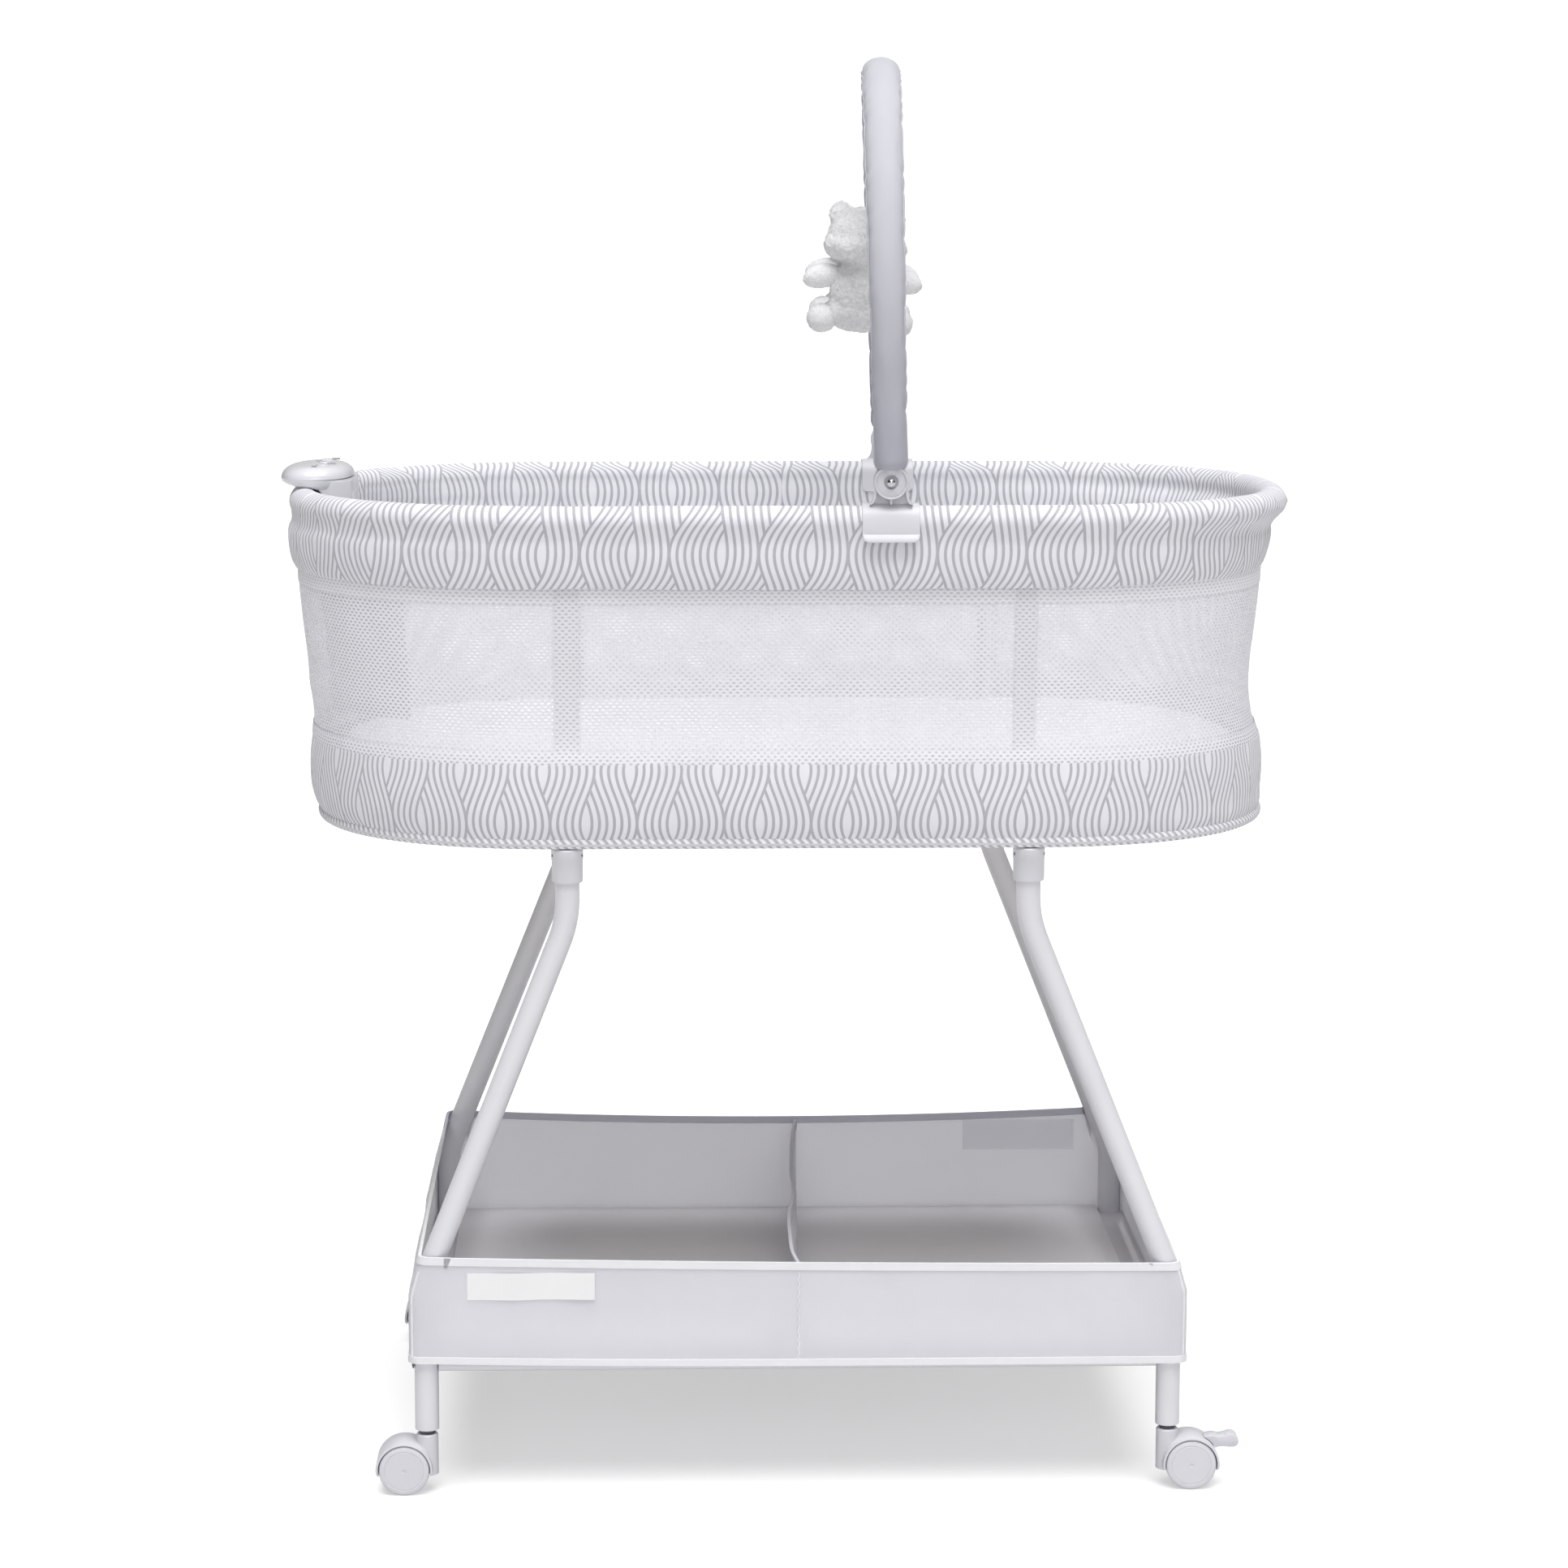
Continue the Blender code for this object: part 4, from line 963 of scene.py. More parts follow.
def stand():
    """Legs, sockets with their pin marks, rails and the screws that hold them."""
    socket = turned("socket", [(0.0, 0.5117), (0.0116, 0.5117), (0.0125, 0.5105), (0.0125, 0.5030),
                               (0.0122, 0.5025), (0.0122, 0.4880), (0.0119, 0.4856), (0.0112, 0.4850),
                               (0.0099, 0.4850), (0.0099, 0.5060), (0.0, 0.5060)], 48)
    pin = turned("pin", [(0.0, 0.0006), (0.0011, 0.0005), (0.0014, 0.0), (0.0014, -0.002), (0.0, -0.002)],
                 20, "Y")
    screw = turned("screw", [(0.0, 0.3046), (0.0016, 0.3045), (0.0032, 0.3041), (0.0040, 0.3033),
                             (0.0040, 0.3029), (0.0023, 0.3029), (0.0023, 0.2640), (0.0, 0.2640)], 28, "X")
    cross = [box("slot", (0.3040, -0.0022, -0.0005), (0.3060, 0.0022, 0.0005)),
             box("slot", (0.3040, -0.0005, -0.0022), (0.3060, 0.0005, 0.0022))]
    for cutter in cross:
        screw = shaped(screw, ("DIFFERENCE", cutter))
    for where, sx, sy in CORNERS:
        corners = [(sx * x, sy * y, z) for x, y, z in LEG_CORNERS]
        path = resampled(rounded_path(corners, LEG_BEND_RADII), 0.006)
        put(f"leg_tube_{where}", pipe("leg", path, (0, 1, 0), LEG_RADIUS, 32), "white_steel", f"leg_{where}")
        x, y, _ = corners[0]
        put(f"socket_cap_{where}", socket.copy(), "white_plastic", f"leg_socket_{where}", location=(x, y, 0))
        for number, turn in enumerate((-1.2, 1.2)):
            spot = (x + SOCKET_NECK * math.sin(turn), y + sy * SOCKET_NECK * math.cos(turn), 0.5065)
            put(f"socket_pin_{where}_{number}", pin.copy(), "dark_steel", location=spot,
                turn=(0, 0, (0 if sy > 0 else math.pi) - sy * turn))
        put(f"screw_{where}", screw.copy(), "dark_steel", f"rail_screw_{where}",
            location=(0, sy * CASTER_Y, RAIL_HEIGHT), turn=(0, 0, half_turn(sx)))
    rails = []
    for face, sy in FACES.items():
        ends = [(x, sy * CASTER_Y, RAIL_HEIGHT) for x in (-0.2832, 0.2832)]
        rails.append((f"side_rail_{face}", f"long_rail_{face}", ends))
    for side, sx in SIDES.items():
        ends = [(sx * CASTER_X, y, RAIL_HEIGHT) for y in (-0.2022, 0.2022)]
        rails.append((f"cross_rail_{side}", f"end_rail_{side}", ends))
    for name, node, ends in rails:
        put(name, pipe("rail", resampled(ends, 0.02), (0, 0, 1), RAIL_RADIUS, 24), "white_steel", node)


def caster_body():
    """Hood with a barrel for the stem, hollowed for a wheel on each side of a web."""
    wheel = (CASTER_TRAIL, WHEEL_RADIUS)
    side = circle_arc(wheel, 0.0225, -8, 186, 48)
    side += [(CASTER_TRAIL - 0.0207, 0.0155), (CASTER_TRAIL + 0.0207, 0.0155)]
    mesh = extruded("hood", side, -0.0155, 0.0155)
    mesh = shaped(mesh, ("BEVEL", 0.0011, 50))
    barrel = turned("barrel", [(0.0, 0.014), (0.0087, 0.014), (0.0087, 0.0458), (0.0076, 0.0470),
                               (0.0, 0.0470)], 40)
    axle = Matrix.Translation((CASTER_TRAIL, 0, WHEEL_RADIUS))
    web = drum("web", 0.011, -0.003, 0.003, 48, "Y")
    web.transform(axle)
    steps = [("UNION", barrel), ("UNION", web)]
    for sign in (-1, 1):
        well = drum("well", 0.0207, *sorted((sign * 0.0036, sign * 0.020)), 72, "Y")
        well.transform(axle)
        steps.append(("DIFFERENCE", well))
    return shaped(mesh, *steps)


def caster_wheels():
    """Two wheels with a flat face, a fine groove near the tread, and the axle's dimple."""
    profile = [(0.0, 0.0150), (0.0012, 0.0150), (0.0016, 0.0155), (0.0150, 0.0155), (0.0153, 0.0152),
               (0.0158, 0.0152), (0.0161, 0.0155), (0.0182, 0.0154), (0.0192, 0.0149), (0.0199, 0.0138),
               (0.0200, 0.0125), (0.0200, 0.0050), (0.0192, 0.0040), (0.0027, 0.0040)]
    full = profile + [(radius, -height) for radius, height in reversed(profile)]
    return turned("wheels", full, 72, "Y", 30.0)


def caster_lever():
    """Milky paddle that stands out of the hood's shoulder."""
    inner = circle_arc((0, 0), 0.0231, 62, 30, 14)
    outer = [(0.0225, 0.0125), (0.0262, 0.0128), (0.0300, 0.0122), (0.0350, 0.0122), (0.0374, 0.0136),
             (0.0384, 0.0166), (0.0376, 0.0200), (0.0350, 0.0222), (0.0310, 0.0226), (0.0272, 0.0212),
             (0.0232, 0.0204), (0.0180, 0.0216)]
    mesh = extruded("lever", inner + outer, -0.0070, 0.0070)
    return shaped(mesh, ("BEVEL", 0.0016, 30))


def casters():
    """Four twin-wheel casters, with brake levers on the right ones."""
    housing = caster_body()
    wheels = caster_wheels()
    lever = caster_lever()
    stem = turned("stem", [(0.0, 0.0372), (0.0040, 0.0372), (0.0040, 0.0473), (0.0060, 0.0474),
                           (0.0063, 0.0479), (0.0063, 0.0487), (0.0052, 0.0491), (0.0052, 0.0496),
                           (0.0063, 0.0500), (0.0063, 0.0507), (0.0, 0.0507)], 32)
    insert = turned("insert", [(0.0, 0.0502), (0.0088, 0.0502), (0.0094, 0.0506), (0.0094, 0.0516),
                               (0.0, 0.0516)], 32)
    for where, sx, sy in CORNERS:
        foot = (sx * CASTER_X, sy * CASTER_Y, 0)
        axle = (sx * (CASTER_X + CASTER_TRAIL), sy * CASTER_Y, WHEEL_RADIUS)
        turn = (0, 0, half_turn(sx))
        put(f"stem_{where}", stem.copy(), "dark_steel", f"caster_stem_{where}", location=foot)
        put(f"leg_plug_{where}", insert.copy(), "white_plastic", location=foot)
        put(f"hood_{where}", housing.copy(), "white_plastic", f"caster_housing_{where}", f"caster_{where}",
            location=foot, turn=turn)
        put(f"twin_wheels_{where}", wheels.copy(), "white_plastic", f"caster_wheels_{where}",
            f"wheels_{where}", location=axle, turn=turn)
        if sx > 0:
            put(f"lever_{where}", lever.copy(), "milky", f"brake_lever_{where}", f"brake_{where}",
                location=axle)


# ---------------------------------------------------------------- storage basket

def basket_plan(count=560):
    """Rounded rectangle round the legs: points, outward normals and positions, from the front middle."""
    half_x, half_y, radius = 0.3062, BASKET_HALF_DEPTH, 0.009
    points = [(0.0, -half_y)]
    for quarter, (sx, sy) in enumerate(((1, -1), (1, 1), (-1, 1), (-1, -1))):
        points += circle_arc((sx * (half_x - radius), sy * (half_y - radius)), radius,
                             90 * quarter - 90, 90 * quarter, 10)
    points.append((0.0, -half_y))
    points = np.array(points)
    travel = lengths_along(points)
    at = np.linspace(0, travel[-1], count + 1)
    plan = points_at(at, travel, points)
    ahead = np.roll(plan[:-1], -1, 0) - np.roll(plan[:-1], 1, 0)
    return plan[:-1], unit(np.stack([ahead[:, 1], -ahead[:, 0]], 1)), at


def basket_top(plan):
    """Height of the basket's top edge: nearly level in front, hung from the corners behind."""
    x, y = plan[:, 0], plan[:, 1]
    behind = ramp(y / BASKET_HALF_DEPTH + 1, 2)
    behind = behind * behind * (3 - 2 * behind)
    across = ramp(np.abs(x), 0.29)
    front = 0.1866 - 0.0040 * x / 0.29 + 0.0016 * across ** 2
    rear = 0.1965 + 0.0075 * across ** 2
    dip = np.sin(np.pi * ramp(y + BASKET_HALF_DEPTH, 2 * BASKET_HALF_DEPTH))
    sides = 1 - 0.02 * dip * (np.abs(x) > 0.28)
    return mix(front, rear, behind) * sides


def basket_strip(name, finish, low, high, rows, thickness, node=None):
    """A closed strip round the storage basket between two height fields."""
    plan, normal, at = basket_plan()
    ring = in_space(plan)
    folds = wave_noise(ring, (14.0, 14.0, 1.0), 41.0)
    pinch = wave_noise(ring, 45.0, 44.0, 1)
    corner = bell(np.abs(plan[:, 0]), 0.306, 0.02) * bell(np.abs(plan[:, 1]), BASKET_HALF_DEPTH, 0.02)
    middle = bell(plan[:, 0], 0.0, 0.006) * (np.abs(plan[:, 1]) > 0.2)
    levels = []
    for side in (1, -1):
        lines = []
        for t in np.linspace(0, 1, rows):
            z = mix(low, high, t)
            rise = np.maximum(z - 0.160, 0)
            body = np.sin(np.pi * ramp(z - 0.108, 0.075))
            bulge = 0.0012 * body * (folds + 0.4 * pinch * (0.5 + corner)) * (1 - 0.6 * corner)
            bulge = bulge - 0.0012 * middle * body
            flat = plan + normal * (side * thickness / 2 + bulge)[:, None]
            flat[:, 0] -= np.sign(plan[:, 0]) * (np.abs(plan[:, 0]) > 0.28) * 0.28 * rise
            flat[:, 1] -= np.sign(plan[:, 1]) * (np.abs(plan[:, 1]) > 0.20) * 0.02 * rise
            lines.append(np.column_stack([flat, z]))
        levels.append(lines if side > 0 else lines[::-1])
    section = np.array(levels[0] + levels[1])
    v = 0.10 + there_and_back(0.09, rows)
    return put(name, skin(name, section, u=at, v=v, closed=True, sharp=60.0), finish, node)


def storage():
    """Walls, bindings, floor, seams, doubled patch, divider and blank label of the storage basket."""
    plan = basket_plan()[0]
    foot = 0.1030 + 0.0035 * np.clip(-plan[:, 0] / 0.29, 0, 1) ** 2 * (plan[:, 1] < -0.1)
    top = basket_top(plan)
    wall = basket_strip("storage_cloth", "sheer", foot + 0.0015, top - 0.002, 26, 0.0008, "storage_basket")
    upper = basket_strip("storage_tape_top", "tape", top - 0.0060, top, 7, 0.0024)
    lower = basket_strip("storage_tape_bottom", "tape", foot, foot + 0.0055, 6, 0.0024)
    floor = box("storage_floor", (-0.3048, -0.2222, 0.1097), (0.3048, 0.2222, 0.1109))
    floor = put("storage_floor", floor, "sheer")
    seams = []
    for number, (_, sx, sy) in enumerate(CORNERS):
        rise = 0.190 if sy > 0 else 0.180
        line = [(sx * 0.3036, sy * 0.2209, 0.1085), (sx * 0.3036, sy * 0.2209, 0.160),
                (sx * (0.3036 - 0.28 * (rise - 0.160)), sy * 0.2203, rise)]
        seam = pipe("seam", resampled(line, 0.004), (1, 0, 0), 0.0011, 10)
        seams.append(put(f"storage_seam_{number}", seam, "tape"))
    for face, rise, middle in (("front", 0.1785, 0.0), ("rear", 0.188, DIVIDER_REAR)):
        path = [(middle + 0.0004 * math.sin(z * 900), FACES[face] * 0.2236, z)
                for z in np.linspace(0.109, rise, 40)]
        seams.append(put(f"divider_seam_{face}", pipe("seam", path, (1, 0, 0), 0.0006, 10), "tape"))
    back = np.array([[(x, 0.2207, z) for x in np.linspace(0.163, 0.262, 20)]
                     for z in np.linspace(0.166, 0.193, 6)])
    patch = np.concatenate([back, back[::-1] - (0, 0.0006, 0)])
    patch = skin("storage_patch", patch, u=np.linspace(0, 0.102, 21), v=there_and_back(0.0165, 6),
                 around=False, closed=True)
    seams.append(put("storage_patch", plugged(patch), "grey_sheer"))

    across = np.linspace(-DIVIDER_HALF, DIVIDER_HALF, 90)
    share = (across / DIVIDER_HALF + 1) / 2
    sag = 1 - (across / DIVIDER_HALF) ** 2
    edge = mix(0.1855, 0.1945, share) - 0.012 * sag
    line = DIVIDER_REAR * share
    sway = sag * (0.0035 * np.sin(across * 15.0 + 0.6) + 0.0015 * np.sin(across * 41.0) - 0.0080)

    def divider_strip(name, finish, low, high, rows, thickness, node=None):
        lines = []
        for side in (1, -1):
            part = []
            for t in np.linspace(0, 1, rows):
                z = mix(low, high, t)
                height = (z - 0.115) / 0.07
                ripple = 0.0008 * np.sin(z * 260.0 + across * 30) * sag
                x = line + sway * height ** 2 + side * thickness / 2 + ripple
                part.append(np.column_stack([x, across, z]))
            lines += part if side > 0 else part[::-1]
        v = there_and_back(0.075, rows)
        mesh = skin(name, np.array(lines), u=across, v=v, around=False, closed=True, sharp=60.0)
        return put(name, plugged(mesh), finish, node)

    divider = divider_strip("divider_cloth", "sheer", 0.1148, edge - 0.002, 14, 0.0008, "storage_divider")
    binding = divider_strip("divider_binding", "grey_tape", edge - 0.007, edge, 6, 0.0026)

    front = np.array([[(x, -0.2247 + 0.0004 * math.sin(x * 120), z + 0.0002 * math.sin(x * 90))
                       for x in np.linspace(-0.260, -0.160, 40)] for z in np.linspace(0.1580, 0.1795, 8)])
    back = front[::-1] + np.array([0, 0.0006, 0])
    label = skin("storage_tag", np.concatenate([front, back]), u=np.linspace(-0.260, -0.160, 41),
                 v=there_and_back(0.022, 8), around=False, closed=True)
    label = put("storage_tag", plugged(label), "label", "storage_label")
    return wall, [upper, lower, floor, *seams], divider, binding, label


# ---------------------------------------------------------------- toy arch

HUB = Matrix.Translation(ARCH_ORIGIN) @ Matrix.Rotation(ARCH_TURN, 4, "Z")
ARCH_PLACE = HUB @ Matrix.Rotation(ARCH_LEAN, 4, "Y")


def arch_line(low, step):
    """Middle line of the arch in its own frame, from one pivot over to the other."""
    centre = (0.0, ARCH_SPRING)
    top = circle_arc(centre, ARCH_HALF_WIDTH, 0, 180, 90)
    path = [(0.0, ARCH_HALF_WIDTH, low)] + [(0.0, y, z) for y, z in top] + [(0.0, -ARCH_HALF_WIDTH, low)]
    return resampled(path, step)


def arch_sleeve():
    """Padded sleeve with gathers along its edges and a piped seam on the outside."""
    path = arch_line(0.0098, 0.0020)
    points, across, normal = frames_along(path, (1, 0, 0))
    travel = lengths_along(path)
    total = travel[-1]
    sides = 56
    angle = np.arange(sides) * math.tau / sides
    crown = np.sin(np.pi * travel / total)
    half_x = np.interp(path[:, 2], (0.0125, 0.10, 0.20, 0.32), (0.0124, 0.0129, 0.0140, 0.0150))
    half_n = 0.0122 - 0.0008 * crown
    closing = np.clip(np.minimum(travel, total - travel) / 0.006, 0, 1)
    shrink = 0.78 + 0.22 * np.sqrt(closing)
    rows = np.zeros((len(path), sides, 3))
    jitter = np.array([noise.noise(Vector((t * 23.0, 4.2, 0.3))) for t in travel])
    phase = travel / RUCK_BEAT + 1.6 * jitter

    def rucks(shift):
        return (1 - np.abs(np.sin(np.pi * (phase + shift))) ** 0.45) * (0.5 + 1.8 * np.abs(jitter))

    for k, a in enumerate(angle):
        edge = bell(math.cos(a) ** 2, 1, 0.35)
        lumps = np.array([noise.noise(Vector((t * 38.0, math.cos(a) * 1.3, math.sin(a) * 1.3)))
                          for t in travel])
        scale = shrink * (1 - 0.110 * edge * rucks(0.35 * math.sin(a))) + 0.055 * lumps
        rows[:, k] = (points + across * (half_x * math.cos(a) * scale)[:, None]
                      + normal * (half_n * math.sin(a) * scale)[:, None])
    v = np.concatenate([travel, [travel[-1]]])
    mesh = skin("arch_sleeve_cloth", rows, u=np.linspace(0, 0.08, sides + 1), v=v, caps=True, sharp=70.0)
    mesh.transform(ARCH_PLACE)
    sleeve = put("arch_sleeve_cloth", mesh, "sleeve", "arch_sleeve", "toy_arch")
    for name, sign in (("seam_left", -1.0), ("seam_right", 1.0)):
        outwards = across * (sign * half_x * shrink * (1.005 - 0.100 * rucks(0.05)))[:, None]
        mesh = pipe(name, points + outwards, (1, 0, 0), 0.0009, 10)
        mesh.transform(ARCH_PLACE)
        put(f"arch_{name}", mesh, "sleeve_piping", body="toy_arch")
    return sleeve


def arch_bow():
    """The bow with its moulded knuckles, each a ring round a recessed disc."""
    parts = [pipe("bow", arch_line(0.0060, 0.004), (1, 0, 0), 0.0050, 20)]
    for sign in (-1, 1):
        out = [(0.0026, 0.0000), (0.0050, 0.0000), (0.0050, 0.0022), (0.0056, 0.0028), (0.0104, 0.0030),
               (0.0110, 0.0026), (0.0113, 0.0026), (0.0116, 0.0040), (0.0124, 0.0045), (0.0130, 0.0040),
               (0.0130, -0.0040), (0.0125, -0.0045), (0.0026, -0.0045), (0.0026, 0.0)]
        knuckle = turned("knuckle", out, 56, "Y", 30.0)
        if sign < 0:
            knuckle.transform(Matrix.Rotation(math.pi, 4, "Z"))
        knuckle.transform(Matrix.Translation((0, sign * ARCH_HALF_WIDTH, 0)))
        parts.append(knuckle)
        parts.append(pipe("neck", [(0, sign * ARCH_HALF_WIDTH, z) for z in (0.0118, 0.0135, 0.0160, 0.0190)],
                          (1, 0, 0), [0.0062, 0.0068, 0.0066, 0.0058], 24))
    mesh = joined("bow", parts)
    mesh.transform(ARCH_PLACE)
    put("arch_bow_moulding", mesh, "white_plastic", "arch_bow", "toy_arch")


def clip_section(steps=24):
    """The saddle's section: inner lip, over the roll, and back under with a ledge outside."""
    roll = (0.213, 0.768)
    section = [(0.2296, 0.7530), (0.2304, 0.7537), (0.2296, 0.7560), (0.2278, 0.7583), (0.2272, 0.7590),
               (roll[0] + 0.0143, 0.7620)]
    section += circle_arc(roll, 0.0140, 10, 170, steps)
    section += [(0.1984, 0.7600), (0.1976, 0.7552), (0.1982, 0.7545), (0.1992, 0.7555), (0.2000, 0.7600)]
    section += circle_arc(roll, 0.0124, 170, 10, steps)
    section += [(roll[0] + 0.0126, 0.7600), (0.2272, 0.7530)]
    return section


def clips():
    """Rim clips: a saddle with a ledge and a flared lip, an ear behind the knuckle, and ribs between."""
    screw = turned("pivot", [(0.0, 0.2303), (0.0012, 0.2302), (0.0026, 0.2294), (0.0036, 0.2280),
                             (0.0038, 0.2273), (0.0023, 0.2270), (0.0023, 0.2120), (0.0, 0.2120)], 36, "Y")
    for face, sy in FACES.items():
        middle = ARCH_ORIGIN.x - sy * ARCH_HALF_WIDTH * math.sin(ARCH_TURN)
        loops = []
        for x in np.concatenate([np.linspace(-0.0220, -0.0165, 13), np.linspace(-0.0145, 0.0145, 9),
                                 np.linspace(0.0165, 0.0220, 13)]):
            corner = ramp(abs(x) - 0.0165, 0.0055)
            lift = 0.88 * (1 - math.sqrt(1 - corner ** 2))
            loops.append([(middle + x, sy * y, z + lift * max(0.7593 - z, 0)) for y, z in clip_section()])
        saddle = shaped(skin("saddle", loops, caps=True), ("BEVEL", 0.0009, 55))
        low, high = sorted((sy * 0.2122, sy * 0.2168))
        ear = turned("ear", [(0.0026, low), (0.0130, low), (0.01375, low + 0.0007), (0.01375, high - 0.0007),
                             (0.0130, high), (0.0026, high), (0.0026, low)], 56, "Y")
        right = [(0.0128, -0.0040), (0.0130, CLIP_FOOT + 0.0080), (0.0136, CLIP_FOOT + 0.0045),
                 (0.0150, CLIP_FOOT + 0.0016), (0.0165, CLIP_FOOT)]
        left = [(-x, z) for x, z in reversed(right)]
        block = extruded("block", left + right, low + 0.0004, high - 0.0004)
        y_low, y_high = sorted((sy * 0.2160, sy * 0.2236))
        ribs = [box("rib", (-0.0008, y_low, CLIP_FOOT), (0.0008, y_high, -0.0125), 0.0002)]
        for sx, edge in ((-1, left), (1, right)):
            inner_edge = [(x - sx * 0.0018, z) for x, z in reversed(edge)]
            ribs.append(extruded("rib", edge + inner_edge, y_low, y_high))
        parts = [ear, block, *ribs]
        for part in parts:
            part.transform(HUB)
        put(f"rim_clip_{face}", joined("clip", [saddle, *parts]), "white_plastic", f"arch_clip_{face}")
        pin = screw.copy()
        if sy < 0:
            pin.transform(Matrix.Rotation(math.pi, 4, "Z"))
        pin.transform(HUB)
        put(f"pivot_pin_{face}", pin, "bright_steel", f"pivot_screw_{face}")


def bears():
    """Plush bears with curly heads and bodies, smoother paws, and a sewn ribbon."""
    rise = RIBBON_TOP - ARCH_ORIGIN.z
    for number, (face, sy) in enumerate(FACES.items()):
        x = ARCH_ORIGIN.x - 0.011 - sy * BEAR_Y * math.tan(ARCH_TURN) + rise * math.tan(ARCH_LEAN)
        place = Vector((x, sy * BEAR_Y, 0.0))
        body = f"hanging_bear_{face}"
        head = [ellipsoid("head", (0, 0, 0.978), (0.0305, 0.0250, 0.0225)),
                ellipsoid("muzzle", (-0.012, -0.0205, 0.971), (0.0130, 0.0100, 0.0090)),
                ellipsoid("cheek", (-0.018, -0.006, 0.972), (0.0150, 0.0140, 0.0115)),
                ellipsoid("cheek", (0.018, -0.006, 0.972), (0.0150, 0.0140, 0.0115)),
                ellipsoid("body", (0, 0.001, 0.938), (0.0260, 0.0215, 0.0290)),
                ellipsoid("hips", (0, 0.001, 0.920), (0.0300, 0.0190, 0.0155))]
        paws = []
        for sx in (-1, 1):
            head.append(ellipsoid("ear", (sx * 0.0205, 0.002, 0.9945), (0.0098, 0.0058, 0.0092)))
            for spot, radii, tilt in (((0.0320, -0.001, 0.9470), (0.0160, 0.0092, 0.0096), 0.25),
                                      ((0.0305, -0.002, 0.9140), (0.0120, 0.0122, 0.0116), -0.18)):
                paws.append(ellipsoid("limb", (sx * spot[0], *spot[1:]), radii, 24, sx * tilt))
        voxel = 0.0013
        for label, parts, finish, rough, scale in (("fur", head, "plush", 0.0010, 300.0),
                                                   ("paws", paws, "plush_smooth", 0.0006, 320.0)):
            mesh = shaped(joined(label, parts), ("REMESH", voxel), ("SMOOTH", 4))
            spots = np.array([v.co for v in mesh.vertices])
            normals = np.array([v.normal for v in mesh.vertices])
            lift = wave_noise(spots, scale, 7.0 + number, 2) + 0.6 * wave_noise(spots, 90.0, 2.0 + number, 1)
            tilt = Matrix.Translation((0, 0, 1.0)) @ Matrix.Rotation(math.radians(4), 4, "Y")
            tilt = tilt @ Matrix.Translation((0, 0, -1.0))
            for vertex, spot, normal, move in zip(mesh.vertices, spots, normals, lift):
                vertex.co = tilt @ Vector(spot + normal * move * rough)
            mesh.transform(Matrix.Translation(place))
            mesh.shade_smooth()
            node = f"bear_{face}" if label == "fur" else None
            put(f"bear_{label}_{face}", mesh, finish, node, body)
        inners = []
        for sx in (-1, 1):
            inner = turned("inner_ear", [(0.0, 0.0012), (0.0035, 0.0010), (0.0058, 0.0002), (0.0058, -0.0012),
                                         (0.0, -0.0012)], 28, "Y")
            inner.transform(Matrix.Translation((place.x + sx * 0.0218 + 0.001, place.y - 0.0042, 0.9948)))
            inners.append(inner)
        put(f"bear_inner_ears_{face}", joined("inner_ears", inners), "plush_smooth", body=body)
        rows = []
        heights = np.concatenate([np.linspace(0.9950, 1.0690, 22), np.linspace(1.0700, 1.0790, 10)])
        for pz in heights:
            px = place.x + 0.0050 * ramp(1.0755 - pz, 0.025)
            half = 0.0005 + 0.0035 * ramp(RIBBON_TOP - pz, 0.010)
            rows.append([(px + sx * half, place.y + sy_half * 0.0005, pz)
                         for sx, sy_half in ((-1, -1), (1, -1), (1, 1), (-1, 1))])
        mesh = skin("ribbon", rows, u=[0, 0.008, 0.009, 0.017, 0.018], v=[*heights, 1.08], caps=True)
        ribbon = put(f"bear_ribbon_{face}", mesh, "ribbon", body=body)


# ---------------------------------------------------------------- music pod

def oval_line(grow, height, slope=0.0, right=None, power=2.4, count=120):
    """An oval in plan with its height tipped along X. It can grow differently at its right side."""
    right = grow if right is None else right
    points = []
    for i in range(count):
        turn = math.tau * i / count
        u = math.copysign(abs(math.cos(turn)) ** (2 / power), math.cos(turn))
        v = math.copysign(abs(math.sin(turn)) ** (2 / power), math.sin(turn))
        more = mix(grow, right, min(max(u + 0.4, 0), 1))
        x = (POD_HALF_LENGTH + more) * u
        points.append((POD_MIDDLE + x, (0.053 + more) * v, height + slope * x))
    return points


